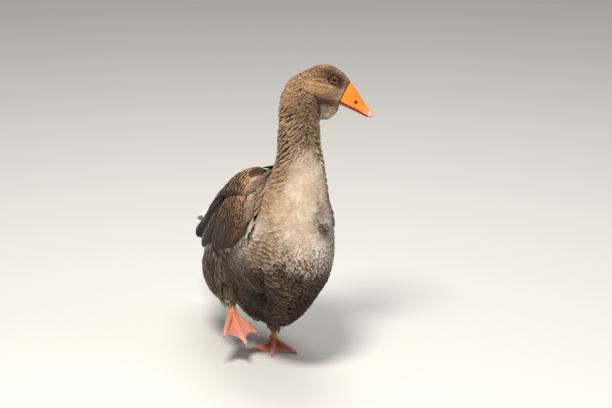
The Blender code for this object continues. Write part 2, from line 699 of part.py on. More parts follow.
def tail_base():
    rings = []
    steps = 5
    for k in range(steps + 1):
        f = k / steps
        reach = -0.004 + (TAIL_BASE_LENGTH + 0.004) * f
        half = TAIL_BASE_WIDTH + reach * 0.18
        thick = TAIL_BASE_THICKNESS * (1 - 0.68 * f * f)
        ring = []
        for i in range(14):
            angle = 2 * math.pi * i / 14
            across = math.sin(angle) * half
            ring.append(tail_point(reach, across, math.cos(angle) * thick / 2))
        rings.append(ring)
    return loft("tail base", rings)


def tail_point(reach, across, height):
    """A point of the tail's own frame: out along the tail, to its left, up from its arched plane."""
    raised = height - TAIL_ARCH * across * across
    out = reach * math.cos(TAIL_RISE) - raised * math.sin(TAIL_RISE)
    up = reach * math.sin(TAIL_RISE) + raised * math.cos(TAIL_RISE)
    return TAIL_ROOT + Vector((across * math.cos(TAIL_SWING) + out * math.sin(TAIL_SWING),
                               out * math.cos(TAIL_SWING) - across * math.sin(TAIL_SWING), up))


def tail():
    """The tail with its feathers: a fan of rectrices between upper and under coverts."""
    rng = np.random.default_rng(TAIL_SEED)
    pieces = []
    for _, fan, root, count, length, width, height, rise, drop in TAIL_TIERS:
        for i in range(count):
            f = 2 * i / (count - 1) - 1
            angle = math.radians(fan * f)
            long = length * rng.uniform(0.97, 1.03) * (1 - 0.12 * f * f)
            steps = vane_steps(length)
            spine = []
            for share, _ in steps:
                reach = root + long * share * math.cos(angle)
                across = f * TAIL_BASE_WIDTH * 0.72 + long * share * math.sin(angle)
                spine.append(tail_point(reach, across, height + rise * share - drop * abs(f)))
            roll = math.copysign(math.radians(7.0), f) if f else 0.0
            pieces.append(vane(spine, [Vector((0, 0, 1))] * len(spine), steps, width, roll, 0.1))
    whole = tail_base()
    fuse(whole, pieces)
    return whole


def toe_path(length, degrees, outer):
    """Points from the joint to the toe's end, in the foot's frame."""
    way = Vector((outer * math.sin(math.radians(degrees)), -math.cos(math.radians(degrees)), 0))
    points, radii = [], []
    steps = 7
    for k in range(steps + 1):
        f = k / steps
        knuckle = 0.10 * math.exp(-((f - 0.36) / 0.07) ** 2) + 0.12 * math.exp(-((f - 0.68) / 0.07) ** 2)
        radius = (TOE_RADIUS + (TOE_TIP_RADIUS - TOE_RADIUS) * f) * (1 + knuckle)
        height = radius * 0.80 + (JOINT_HEIGHT - TOE_RADIUS * 0.80) * max(0.0, 1 - f / 0.25) ** 2
        points.append(way * (length * f) + Vector((0, 0, height)))
        radii.append(radius)
    return way, points, radii


def toe(length, degrees, outer):
    way, points, radii = toe_path(length, degrees, outer)
    side = Vector((-way.y, way.x, 0))
    rings = []
    for point, radius in zip(points, radii):
        ring = []
        for i in range(TOE_SIDES):
            angle = 2 * math.pi * (i + 0.5) / TOE_SIDES
            place = point + side * (math.cos(angle) * radius) + Vector((0, 0, math.sin(angle) * radius))
            place.z = max(place.z, 0.0)
            ring.append(place)
        rings.append(ring)
    return loft("toe", rings)


def web(first, second, outer):
    """The skin between two toes, hollowed along its front edge."""
    _, a, _ = toe_path(first[1], first[2], outer)
    _, b, _ = toe_path(second[1], second[2], outer)
    bm = bmesh.new()
    lengthwise, across = 5, 4
    grid = []
    for j in range(across + 1):
        f = j / across
        reach = WEB_REACH - WEB_HOLLOW * math.sin(math.pi * f)
        column = []
        for k in range(lengthwise + 1):
            g = reach * (0.10 + 0.90 * k / lengthwise)
            place = g * (len(a) - 1)
            i = min(int(place), len(a) - 2)
            pa = a[i].lerp(a[i + 1], place - i)
            pb = b[i].lerp(b[i + 1], place - i)
            point = pa.lerp(pb, f)
            point.z = 0.0030 - 0.0010 * math.sin(math.pi * f)
            column.append(bm.verts.new(point))
        grid.append(column)
    for left, right in zip(grid, grid[1:]):
        for k in range(lengthwise):
            bm.faces.new((left[k], left[k + 1], right[k + 1], right[k]))
    sheet = object_from(bm, "web")
    wall = sheet.modifiers.new("skin", "SOLIDIFY")
    wall.thickness = WEB_THICKNESS
    wall.offset = 0.0
    apply_modifiers(sheet)
    bm = bmesh.new()
    bm.from_mesh(sheet.data)
    bmesh.ops.recalc_face_normals(bm, faces=bm.faces)
    bm.to_mesh(sheet.data)
    bm.free()
    return sheet


def hind_toe(outer):
    """The small raised toe on the inner back of the foot."""
    start, end = Vector((-0.003 * outer, 0.002, 0.012)), Vector((-0.009 * outer, 0.019, 0.0075))
    way = (end - start).normalized()
    side = way.cross(Vector((0, 0, 1))).normalized()
    up = side.cross(way)
    rings = []
    for k in range(5):
        f = k / 4
        radius = 0.0042 * (1 - 0.45 * f)
        rings.append([start.lerp(end, f) + side * (math.cos(a) * radius) + up * (math.sin(a) * radius)
                      for a in (2 * math.pi * i / 8 for i in range(8))])
    return loft("hind toe", rings), end, way


def claw(place, way, radius, length, floor=0.0012):
    """A curved claw that starts flat against the end of its toe."""
    side = way.cross(Vector((0, 0, 1))).normalized()
    up = side.cross(way)
    rings = []
    for k in range(5):
        f = k / 4
        thin = radius * (1 - 0.82 * f ** 1.3)
        middle = place + way * (JOINT_GAP + length * f) - up * (0.0022 * f * f)
        ring = []
        for i in range(6):
            angle = 2 * math.pi * i / 6
            point = middle + side * (math.cos(angle) * thin) + up * (math.sin(angle) * thin)
            point.z = max(point.z, floor)
            ring.append(point)
        rings.append(ring)
    return loft("claw", rings)


def shank_ring(middle, way, swell):
    side = Vector((0, 1, 0)).cross(way).normalized()
    front = way.cross(side)
    return [middle + side * (math.sin(a) * TARSUS_HALF_WIDTH * swell)
            + front * (math.cos(a) * TARSUS_HALF_DEPTH * swell)
            for a in (2 * math.pi * i / 12 for i in range(12))]


def foot(outer, matrix, shank_way):
    """A webbed foot and its claws, set in place by matrix. outer is +1 for the left foot."""
    joint = Vector((0, 0, JOINT_HEIGHT))
    base = loft("foot", [shank_ring(joint + shank_way * (STUB_LENGTH * f), shank_way, swell)
                         for f, swell in ((0.0, 1.25), (0.4, 1.22), (0.75, 1.05), (1.0, 1.0))])
    knob = ellipsoid("joint", joint, (0.0092, 0.0100, 0.0095), None, 10, 8)
    hind, hind_end, hind_way = hind_toe(outer)
    pieces = [knob] + [toe(length, degrees, outer) for _, length, degrees in TOES]
    pieces += [web(TOES[0], TOES[1], outer), web(TOES[1], TOES[2], outer), hind]
    fuse(base, pieces)
    claws = []
    for _, length, degrees in TOES:
        way, points, radii = toe_path(length, degrees, outer)
        claws.append(claw(points[-1], way, radii[-1] * 0.62, CLAW_LENGTH))
    claws.append(claw(hind_end, hind_way, 0.0018, CLAW_LENGTH * 0.6))
    for piece in [base] + claws:
        piece.data.transform(matrix)
    return base, claws


def tarsus(bottom, top):
    """The bare shank from the foot's stub up into the feathers."""
    way = (top - bottom).normalized()
    swells = ((0.0, 1.0), (0.12, 0.92), (0.35, 0.86), (0.6, 0.90), (0.82, 1.05), (1.0, 1.35))
    return loft("tarsus", [shank_ring(bottom.lerp(top, f), way, swell) for f, swell in swells])


def stance_matrix():
    return Matrix.Translation(STANCE_JOINT) @ Matrix.Rotation(STANCE_YAW, 4, "Z")


def lifted_matrix():
    turn = (Matrix.Rotation(LIFTED_YAW, 4, "Z") @ Matrix.Rotation(LIFTED_PITCH, 4, "X")
            @ Matrix.Rotation(LIFTED_ROLL, 4, "Y"))
    return Matrix.Translation(LIFTED_JOINT) @ turn


def legs():
    """Thighs, shanks, feet and claws of both legs."""
    made = {}
    for name, outer, matrix, shank_way, length in (
            ("left", 1, stance_matrix(), STANCE_SHANK_WAY, STANCE_SHANK_LENGTH),
            ("right", -1, lifted_matrix(), LIFTED_SHANK_WAY, LIFTED_SHANK_LENGTH)):
        turn = matrix.to_3x3()
        base, claws = foot(outer, matrix, turn.inverted() @ shank_way)
        made["foot_" + name] = base
        for toe_name, piece in zip(("inner", "middle", "outer", "hind"), claws):
            made[f"claw_{name}_{toe_name}"] = piece
        bottom = matrix @ Vector((0, 0, JOINT_HEIGHT)) + shank_way * (STUB_LENGTH + JOINT_GAP)
        made["shank_" + name] = tarsus(bottom, bottom + shank_way * length)
    for name, (middle, half_sizes, rise) in (("left", THIGH_LEFT), ("right", THIGH_RIGHT)):
        made["thigh_" + name] = ellipsoid("thigh", middle, half_sizes, Matrix.Rotation(-rise, 4, "X"), 20, 12)
    return made


def build():
    clear_scene()
    model = new_collection("goose")
    torso, neck, head = flesh(model)
    eyeballs = eyes(head)
    upper, lower = bill()
    leg_pieces = legs()
    for name in ("left", "right"):
        fit_against(leg_pieces["thigh_" + name], torso)
        fit_against(leg_pieces["shank_" + name], torso, leg_pieces["thigh_" + name])
    feathered_tail = tail()
    fit_against(feathered_tail, torso)
    wings = {}
    for name, side in (("left", 1), ("right", -1)):
        wings[name] = wing(side)
        fit_against(wings[name], torso, leg_pieces["thigh_" + name])
    finish(torso, "torso", "plumage", model)
    finish(neck, "neck", "plumage", model)
    finish(head, "head", "plumage", model)
    finish(feathered_tail, "tail", "tail", model)
    finish(upper, "bill_upper", "bill", model)
    finish(lower, "bill_lower", "bill", model)
    for name, ball in zip(("right", "left"), eyeballs):
        finish(ball, "eye_" + name, "eye", model)
    for name, piece in wings.items():
        finish(piece, "wing_" + name, "wing", model)
    looks = {"foot": "skin of the legs", "shan": "skin of the legs", "claw": "claw", "thig": "plumage"}
    for name, piece in leg_pieces.items():
        finish(piece, name, looks[name[:4]], model)


build()
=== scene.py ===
import math
import random

import bpy
import numpy as np
from mathutils import Matrix, Vector, noise
from mathutils.bvhtree import BVHTree
from mathutils.kdtree import KDTree


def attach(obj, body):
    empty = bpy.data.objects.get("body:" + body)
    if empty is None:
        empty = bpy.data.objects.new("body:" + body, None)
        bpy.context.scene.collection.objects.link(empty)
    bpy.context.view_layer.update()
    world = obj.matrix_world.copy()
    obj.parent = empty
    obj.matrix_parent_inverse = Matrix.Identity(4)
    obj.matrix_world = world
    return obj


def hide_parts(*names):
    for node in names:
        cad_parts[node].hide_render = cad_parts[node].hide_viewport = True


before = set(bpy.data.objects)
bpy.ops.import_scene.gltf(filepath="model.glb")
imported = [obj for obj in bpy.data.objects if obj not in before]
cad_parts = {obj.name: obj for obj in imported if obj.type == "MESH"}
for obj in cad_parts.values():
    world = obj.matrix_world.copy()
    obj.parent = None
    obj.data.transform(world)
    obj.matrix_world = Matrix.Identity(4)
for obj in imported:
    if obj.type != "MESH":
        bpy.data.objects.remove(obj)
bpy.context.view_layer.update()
print("frame: the goose's solids are in")


# Small helpers, used by every piece

def paint(red, green, blue):
    # sRGB 0-255 to the linear colour that a shader takes
    parts = [value / 255 for value in (red, green, blue)]
    return (*[part / 12.92 if part <= 0.04045 else ((part + 0.055) / 1.055) ** 2.4 for part in parts], 1.0)


def limited(value):
    return min(1.0, max(0.0, value))


def selectOnly(piece):
    bpy.ops.object.select_all(action="DESELECT")
    piece.select_set(True)
    bpy.context.view_layer.objects.active = piece


def freshPiece(operator, name, **values):
    bpy.ops.object.select_all(action="DESELECT")
    operator(**values)
    made = bpy.context.active_object
    made.name = name
    return made


def inEditMode(piece, *steps):
    # steps are operators with their settings, for the whole mesh
    selectOnly(piece)
    bpy.ops.object.mode_set(mode="EDIT")
    bpy.ops.mesh.select_all(action="SELECT")
    for operator, values in steps:
        operator(**values)
    bpy.ops.object.mode_set(mode="OBJECT")


def copyOfNode(nodeName, copyName):
    piece = bpy.data.objects.new(copyName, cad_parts[nodeName].data.copy())
    bpy.context.scene.collection.objects.link(piece)
    piece.data.materials.clear()
    inEditMode(piece, (bpy.ops.mesh.remove_doubles, {"threshold": 0.00002}),
               (bpy.ops.mesh.normals_make_consistent, {"inside": False}))
    return piece


def joinCopies(nodeNames, joinedName):
    copies = [copyOfNode(nodeName, joinedName + "." + nodeName) for nodeName in nodeNames]
    bpy.ops.object.select_all(action="DESELECT")
    for piece in copies:
        piece.select_set(True)
    bpy.context.view_layer.objects.active = copies[0]
    bpy.ops.object.join()
    copies[0].name = joinedName
    copies[0].data.name = joinedName
    return copies[0]


def addAndApply(piece, kind, **values):
    selectOnly(piece)
    bpy.ops.object.modifier_add(type=kind)
    modifier = piece.modifiers[-1]
    for name, value in values.items():
        setattr(modifier, name, value)
    bpy.ops.object.modifier_apply(modifier=modifier.name)


def melt(piece, settings):
    # one closed skin, smoothed
    addAndApply(piece, "REMESH", mode="VOXEL", voxel_size=settings["voxel"])
    addAndApply(piece, "SMOOTH", factor=0.5, iterations=settings["smoothing"])


def meshNumbers(owner, field, width):
    values = np.empty(len(owner) * width)
    owner.foreach_get(field, values)
    return values.reshape(-1, width) if width > 1 else values


def unit(vectors):
    return vectors / np.maximum(np.linalg.norm(vectors, axis=-1, keepdims=True), 1e-9)


def settle(piece, slotName, *nodeNames):
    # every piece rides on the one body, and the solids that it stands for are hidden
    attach(piece, "root")
    if nodeNames:
        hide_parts(*nodeNames)


# A material and the nodes that it is built from

class Finish:
    def __init__(self, name):
        self.material = bpy.data.materials.new(name)
        self.material.use_nodes = True
        self.tree = self.material.node_tree
        self.shader = self.tree.nodes["Principled BSDF"]
        self.column = -300

    def add(self, kind, **values):
        made = self.tree.nodes.new("ShaderNode" + kind)
        self.column -= 40
        made.location = (self.column, 0)
        for name, value in values.items():
            setattr(made, name, value)
        return made

    def plug(self, source, target):
        self.tree.links.new(source, target)

    def feed(self, node, index, value):
        # a number, a colour or another node's output goes into an input
        if hasattr(value, "is_output"):
            self.plug(value, node.inputs[index])
        else:
            node.inputs[index].default_value = value

    def math(self, operation, first, second=0.0):
        made = self.add("Math", operation=operation)
        self.feed(made, 0, first)
        self.feed(made, 1, second)
        return made.outputs[0]

    def ramp(self, value, low, high, start=0.0, end=1.0, smooth=True):
        made = self.add("MapRange", interpolation_type="SMOOTHSTEP" if smooth else "LINEAR")
        for index, number in enumerate((value, low, high, start, end)):
            self.feed(made, index, number)
        return made.outputs[0]

    def mix(self, share, first, second, blend="MIX"):
        made = self.add("Mix", data_type="RGBA", blend_type=blend)
        self.feed(made, 0, share)
        self.feed(made, 6, first)
        self.feed(made, 7, second)
        return made.outputs[2]

    def place(self):
        return self.add("TexCoord").outputs["Object"]

    def measure(self, operation, place, other):
        made = self.add("VectorMath", operation=operation)
        self.feed(made, 0, place)
        made.inputs[1].default_value = other
        return made.outputs

    def along(self, place, origin, way):
        # how far a point lies from an origin, measured along one way
        return self.measure("DOT_PRODUCT", self.measure("SUBTRACT", place, origin)[0], way)["Value"]

    def distance(self, place, origin):
        return self.measure("DISTANCE", place, origin)["Value"]

    def noise(self, place, scale, detail=3.0, roughness=0.5):
        made = self.add("TexNoise")
        for name, value in (("Vector", place), ("Scale", scale), ("Detail", detail), ("Roughness", roughness)):
            self.feed(made, name, value)
        return made.outputs["Fac"]

    def tune(self, values):
        for name, value in values.items():
            self.shader.inputs[name].default_value = value

    def dress(self, tone, grain, dullLow, dullHigh, relief, height=None, reach=(0.2, 0.8), smooth=True):
        # colour, a roughness that follows the grain, and a relief in metres
        self.feed(self.shader, "Base Color", tone)
        self.feed(self.shader, "Roughness", self.ramp(grain, *reach, dullLow, dullHigh, smooth))
        bump = self.add("Bump")
        bump.inputs["Strength"].default_value = 1.0
        bump.inputs["Distance"].default_value = relief
        self.feed(bump, "Height", grain if height is None else height)
        self.plug(bump.outputs[0], self.shader.inputs["Normal"])
        return self.material


# Camera: on the photograph's line of sight, low in front of the goose and a little to its right

shot = {
    "azimuth": -22.0, "elevation": 17.0,         # degrees round the goose and above the floor
    "distance": 5.0, "lens": 148.5,
    "aim": (0.0465, -0.1332, 0.3278),
}
turn, rise = math.radians(shot["azimuth"]), math.radians(shot["elevation"])
lookBack = Vector((math.sin(turn) * math.cos(rise), -math.cos(turn) * math.cos(rise), math.sin(rise)))
camera = freshPiece(bpy.ops.object.camera_add, "camera", location=Vector(shot["aim"]) + lookBack * shot["distance"])
camera.rotation_mode = "QUATERNION"
camera.rotation_quaternion = (-lookBack).to_track_quat("-Z", "Y")
camera.data.sensor_width = 36
camera.data.lens = shot["lens"]
camera.data.clip_start, camera.data.clip_end = 0.1, 60.0
bpy.context.scene.camera = camera
bpy.context.scene.view_settings.view_transform = "Standard"

# Studio: one big soft light high over the goose, a low fill and a pale room

studio = {
    "key": {"place": (-1.1, -1.7, 2.9), "size": 0.85, "power": 118.0, "tint": (1.0, 0.97, 0.93)},
    "top": {"place": (0.5, 0.9, 2.8), "size": 1.6, "power": 34.0, "tint": (1.0, 0.98, 0.95)},
    "fill": {"place": (2.4, -2.4, 1.2), "size": 2.2, "power": 16.0, "tint": (0.94, 0.97, 1.0)},
    "room": (0.82, 0.86, 0.92), "roomStrength": 0.31,
    "lampsAim": (0, 0, 0.3), "floor": (224, 221, 214), "floorHalf": 12.0,
}
for lightName in ("key", "top", "fill"):
    lamp = studio[lightName]
    spot = Vector(lamp["place"])
    light = freshPiece(bpy.ops.object.light_add, lightName + "Light", type="AREA", location=spot)
    light.data.shape = "DISK"
    light.data.size = lamp["size"]
    light.data.energy = lamp["power"]
    light.data.color = lamp["tint"]
    light.rotation_euler = (Vector(studio["lampsAim"]) - spot).to_track_quat("-Z", "Y").to_euler()
room = bpy.data.worlds.new("room")
room.use_nodes = True
room.node_tree.nodes["Background"].inputs[0].default_value = (*studio["room"], 1.0)
room.node_tree.nodes["Background"].inputs[1].default_value = studio["roomStrength"]
bpy.context.scene.world = room

floor = freshPiece(bpy.ops.mesh.primitive_plane_add, "floor", size=2 * studio["floorHalf"], location=(0, 0, 0))
floorFinish = Finish("paleFloor")
grain = floorFinish.noise(floorFinish.place(), 30.0, 4.0)
floor.data.materials.append(floorFinish.dress(paint(*studio["floor"]), grain, 0.80, 0.92, 0.0004, reach=(0.0, 1.0)))
print("camera, lights and floor")

# The goose's own measures, the same ones that its solids are drawn from

bodyShift = np.array((-0.0121, 0.0080, 0.0))
grooveSpread = 0.30
sectionScale = (1000, 1000, 1000, 1000, 1000, 1000, 1, 1000, 1, 1)
# each row: side shift, back y, back z, belly y, belly z, half width, level, groove, keel, shoulder
bodySections = np.array((
    (0, 172, 226, 184, 164, 26, 0.5, 0, 0, 0), (0, 140, 249, 170, 121, 47, 0.52, 0, 0.2, 0),
    (0, 100, 280, 139, 88, 62, 0.54, 3, 0.4, 0.06), (0, 55, 313, 97, 66, 72, 0.53, 9, 0.5, 0.12),
    (0, 5, 344, 40, 60, 79, 0.51, 14, 0.7, 0.18), (-1, -45, 366, -15, 54, 85, 0.48, 16, 0.9, 0.22),
    (-1, -90, 380, -72, 55, 89, 0.46, 15, 1, 0.24), (-1, -122, 389, -128, 66, 89, 0.46, 11, 1, 0.22),
    (0, -141, 395, -184, 89, 88, 0.47, 6, 0.9, 0.18), (2, -152, 401, -234, 125, 84, 0.49, 2, 0.7, 0.12),
    (4, -160, 407, -270, 170, 80, 0.5, 0, 0.2, 0.06), (5, -165, 414, -290, 221, 73, 0.5, 0, 0, 0),
    (7, -169, 424, -297, 274, 64, 0.5, 0, 0, 0), (10, -173, 437, -292, 326, 55, 0.5, 0, 0, 0),
    (13, -176, 452, -280, 372, 47, 0.5, 0, 0, 0), (15, -177, 471, -267, 413, 43, 0.5, 0, 0, 0),
    (15, -177, 493, -255, 450, 39.5, 0.5, 0, 0, 0), (16, -176, 518, -248, 486, 37, 0.5, 0, 0, 0),
    (17.5, -174, 545, -245, 519, 36.5, 0.5, 0, 0, 0), (21.5, -171, 571, -243, 549, 37, 0.5, 0, 0, 0),
    (27.5, -174, 592, -240, 575, 32, 0.5, 0, 0, 0), (34, -184, 607, -230, 597, 24, 0.5, 0, 0, 0),
    (40, -196, 616, -222, 610, 12, 0.5, 0, 0, 0),
)) / sectionScale
wingSections = np.array((
    (3, -168, 420, -300, 215, 80, 0.5, 0, 0, 0), (3, -162, 416, -272, 160, 88, 0.5, 0, 0, 0.06),
    (3, -150, 411, -225, 108, 94, 0.5, 0, 0, 0.14), (2, -122, 403, -150, 64, 98, 0.5, 0, 0, 0.22),
    (1, -80, 391, -80, 44, 97, 0.5, 0, 0, 0.24), (0, -30, 371, -10, 42, 91, 0.5, 0, 0, 0.22),
    (0, 25, 343, 58, 50, 83, 0.5, 0, 0, 0.18), (0, 78, 310, 110, 72, 74, 0.5, 0, 0, 0.12),
    (0, 128, 276, 154, 100, 64, 0.5, 0, 0, 0.06), (0, 174, 243, 190, 122, 56, 0.5, 0, 0, 0),
    (0, 214, 215, 224, 132, 49, 0.5, 0, 0, 0), (0, 246, 194, 250, 138, 42, 0.5, 0, 0, 0),
)) / sectionScale
headSections = (     # s forward, top t, low t, half width
    (-0.043, -0.013, -0.024, 0.01), (-0.0395, -0.004, -0.033, 0.018), (-0.034, 0.007, -0.04, 0.0245),
    (-0.026, 0.0205, -0.044, 0.029), (-0.015, 0.0315, -0.044, 0.0312), (-0.002, 0.038, -0.04, 0.031),
    (0.012, 0.04, -0.036, 0.0295), (0.025, 0.0392, -0.032, 0.0275), (0.036, 0.0362, -0.0275, 0.0245),
    (0.045, 0.0325, -0.0235, 0.021), (0.0515, 0.03, -0.0205, 0.0185),
)
headOrigin = Vector((0.0469, -0.2070, 0.593))
headForward = Vector((0.7238, -0.5454, -0.4226)).normalized()
headSide = Vector((0, 0, 1)).cross(headForward).normalized()
headUp = headForward.cross(headSide)
eyeMeasures = {"s": 0.0245, "q": 0.0178, "t": 0.0240, "radius": 0.0078}


def headPoint(s, q, t):
    return headOrigin + headForward * s + headSide * q + headUp * t


def rowsAt(table, shares):
    # smooth rows between those of a table of sections
    rows = np.array(table, float)
    padded = np.vstack([2 * rows[0] - rows[1], rows, 2 * rows[-1] - rows[-2]])
    place = np.clip(shares, 0.0, 1.0) * (len(rows) - 1)
    first = np.minimum(place.astype(int), len(rows) - 2)
    f = (place - first)[:, None]
    p0, p1, p2, p3 = padded[first], padded[first + 1], padded[first + 2], padded[first + 3]
    return 0.5 * (2 * p1 + (p2 - p0) * f + (2 * p0 - 5 * p1 + 4 * p2 - p3) * f * f
                  + (3 * p1 - p0 - 3 * p2 + p3) * f ** 3)


def hullPoints(table, shares, angles):
    # angle 0 is the back, + goes to the goose's left, pi is the belly
    rows = rowsAt(table, shares)
    shift, backY, backZ, bellyY, bellyZ, halfWidth, level, groove, keel, shoulder = rows.T
    back = np.stack([shift, backY, backZ], 1)
    belly = np.stack([shift, bellyY, bellyZ], 1)
    middle = back + (belly - back) * level[:, None]
    side, up = np.sin(angles), np.cos(angles)
    side = np.sign(side) * np.abs(side) ** np.where(up < 0, 1 + keel, 1 - shoulder)
    points = middle + up[:, None] * np.where(up[:, None] > 0, back - middle, middle - belly)
    points[:, 0] += side * halfWidth
    fromBelly = (np.mod(np.abs(angles), 2 * math.pi) - math.pi) / grooveSpread
    points += unit(middle - belly) * (groove * np.exp(-fromBelly * fromBelly))[:, None]
    return points + bodyShift


def bodyPoints(shares, angles):
    return hullPoints(bodySections, shares, angles)


def headPoints(shares, angles):
    # share 0 is the nape's end, 1 the bill's root
    rows = rowsAt(headSections, shares)
    s, top, low, half = rows.T
    side, up = np.sin(angles), np.cos(angles)
    q = np.sign(side) * np.abs(side) ** 0.92 * half
    t = (top + low) / 2 + np.sign(up) * np.abs(up) ** 0.92 * (top - low) / 2
    return np.array(headOrigin) + np.outer(s, headForward) + np.outer(q, headSide) + np.outer(t, headUp)

# Skin: neck, torso, head and thighs grown together, a coat's depth under the solids' surface

skinSettings = {
    "nodes": ("torso", "neck", "head", "thigh_left", "thigh_right"),
    "voxel": 0.0030, "smoothing": 6,
    "bodyDepth": 0.0045, "headDepth": 0.0022,     # how far the skin lies under the coat's surface
    "headReach": 0.085,                           # from the head's middle, where the coat thins out
    # where the neck runs into the head, as s, q, t of the head
    "hoodSpots": ((-0.030, -0.022, 0.004), (-0.028, -0.026, -0.020), (-0.030, 0.022, 0.004), (-0.028, 0.026, -0.020),
                  (-0.036, 0.0, 0.0), (-0.012, -0.022, -0.042), (-0.012, 0.022, -0.042), (0.010, 0.0, -0.052)),
    "hoodReach": 0.034, "hoodBlend": 0.015, "hoodSmoothing": 45,
}
skin = joinCopies(skinSettings["nodes"], "skin")
melt(skin, skinSettings)
hood = skin.vertex_groups.new(name="hood")
for vertex in skin.data.vertices:
    near = min((vertex.co - headPoint(*spot)).length for spot in skinSettings["hoodSpots"])
    share = limited((skinSettings["hoodReach"] - near) / skinSettings["hoodBlend"])
    if share > 0:
        hood.add([vertex.index], share, "REPLACE")
addAndApply(skin, "SMOOTH", factor=0.5, iterations=skinSettings["hoodSmoothing"], vertex_group="hood")
folds = (            # x, y, z, reach and depth in millimetres: creases pressed in, puffs of feathers out
    (-64, -201, 378, 9, -4), (-70, -209, 360, 9, -5), (-72, -221, 344, 9, -6), (-73, -232, 328, 9, -6),
    (-86, -212, 297, 10, -5), (-91, -194, 280, 10, -4), (22, -266, 384, 8, -3), (21, -270, 367, 8, -5),
    (16, -276, 350, 8, -5), (9, -282, 332, 9, -5), (26, -276, 334, 8, -5), (-83, -224, 245, 11, -5),
    (-80, -218, 221, 11, -7), (-76, -207, 197, 11, -8), (-70, -191, 170, 11, -8), (-62, -168, 143, 11, -8),
    (-47, -130, 106, 11, -6), (-41, -269, 334, 14, 3), (-13, -276, 354, 14, 2), (32, -268, 352, 11, 4),
    (19, -284, 295, 13, 5), (-50, -268, 300, 14, 4), (-27, -283, 306, 12, 3), (-52, -244, 368, 14, 3),
    (-53, -80, 102, 16, 6), (-37, -149, 101, 14, 4),
)
ripple = {"scale": 26.0, "depth": 0.0016, "below": 0.45, "blend": 0.05}
shellPlaces = meshNumbers(skin.data.vertices, "co", 3)
pushes = np.zeros(len(shellPlaces))
for x, y, z, reach, depth in folds:
    apart = np.linalg.norm(shellPlaces - np.array((x, y, z)) / 1000, axis=1) * 1000
    pushes += 0.001 * depth * np.exp(-(apart / reach) ** 2)
for index, place in enumerate(shellPlaces):
    fading = limited((ripple["below"] - place[2]) / ripple["blend"])
    if fading > 0:
        pushes[index] += ripple["depth"] * fading * noise.noise(Vector(place) * ripple["scale"])
shellPlaces += meshNumbers(skin.data.vertices, "normal", 3) * pushes[:, None]
skin.data.vertices.foreach_set("co", shellPlaces.ravel())
skin.data.update()
shellNormals = meshNumbers(skin.data.vertices, "normal", 3)
shellFaces = [tuple(face.vertices) for face in skin.data.polygons]
faceMiddles = meshNumbers(skin.data.polygons, "center", 3)
faceNormals = unit(np.array([shellNormals[list(face)].mean(axis=0) for face in shellFaces]))
shell = BVHTree.FromPolygons([Vector(place) for place in shellPlaces], shellFaces)
shellNormal = [Vector(normal) for normal in faceNormals]
print("shell:", len(shellFaces), "faces")


def coatDepth(places):
    reach = np.linalg.norm(places - np.array(headOrigin), axis=1) / skinSettings["headReach"]
    share = np.clip((reach - 0.55) / 0.45, 0.0, 1.0)
    return skinSettings["headDepth"] + (skinSettings["bodyDepth"] - skinSettings["headDepth"]) * share


# Markings: what a feather looks like at named places, blended between them. A row ends with ground and edge
# colours, how much of the feather its pale edge takes, length, width and how far its tip stands off the coat
# in millimetres, and how ragged its end is.

headMarks = (        # s, q, t of the head in millimetres; a row with a q is set on both sides
    (0, 0, 38, (126, 98, 74), (178, 146, 114), 0.16, 9.5, 5.4, 1, 0.2),
    (28, 0, 38, (134, 105, 79), (182, 150, 118), 0.14, 7, 4.2, 0.7, 0.2),
    (48, 0, 31, (140, 111, 85), (176, 147, 117), 0.1, 4.6, 2.8, 0.3, 0.2),
    (-18, 20, 26, (84, 63, 47), (156, 125, 97), 0.18, 11, 5.4, 1.2, 0.3),
    (-32, 18, 2, (72, 54, 40), (156, 126, 99), 0.2, 12, 5.4, 1.6, 0.3),
    (14, 24, 35, (46, 33, 25), (84, 62, 47), 0.06, 6, 3.2, 0.6, 0.2),
    (27, 22.5, 34.5, (34, 24, 18), (62, 45, 34), 0.05, 5, 2.8, 0.5, 0.2),
    (38, 18.5, 27.5, (32, 23, 17), (60, 44, 33), 0.05, 4.4, 2.6, 0.3, 0.2),
    (43, 18.5, 18, (72, 54, 41), (104, 82, 64), 0.05, 4, 2.4, 0.2, 0.2),
    (45, 19, 3, (124, 101, 82), (154, 130, 108), 0.05, 3.8, 2.3, 0.1, 0.2),
    (26, 27.5, 10, (172, 140, 106), (196, 164, 130), 0.08, 4.8, 2.8, 0.3, 0.2),
    (6, 29, 22, (88, 67, 50), (146, 118, 92), 0.1, 7, 3.5, 0.5, 0.3),
    (12, 30, 2, (200, 160, 118), (218, 182, 143), 0.1, 6, 3.4, 0.3, 0.2),
    (-6, 31, 0, (180, 142, 103), (208, 172, 134), 0.12, 7.5, 3.8, 0.6, 0.3),
    (32, 25, -8, (136, 111, 88), (166, 141, 115), 0.08, 5, 3, 0.3, 0.2),
    # the jaw and the lower cheek: dark with painted shade under the head
    (36, 20, -22, (72, 55, 43), (106, 85, 68), 0.06, 5, 3, 0.4, 0.3),
    (12, 26, -28, (62, 47, 36), (100, 79, 62), 0.08, 6.5, 3.6, 0.6, 0.3),
    (-14, 29, -22, (92, 70, 53), (160, 131, 102), 0.16, 9, 4.4, 1.2, 0.3),
    # the throat's pouch, and the pale line round the root of the bill
    (46, 0, -50, (192, 177, 167), (212, 200, 191), 0.08, 6.5, 4, 0.5, 0.3),
    (32, 0, -62, (188, 172, 161), (210, 197, 187), 0.08, 7.5, 4.4, 0.6, 0.3),
    (38, 10, -40, (140, 121, 108), (178, 161, 149), 0.08, 6, 3.6, 0.5, 0.3),
    (51.5, 18, 12, (196, 175, 154), (212, 195, 177), 0.05, 3.2, 2, 0.1, 0.2),
    (51.5, 18.5, 0, (196, 175, 154), (212, 195, 177), 0.05, 3.2, 2, 0.1, 0.2),
)
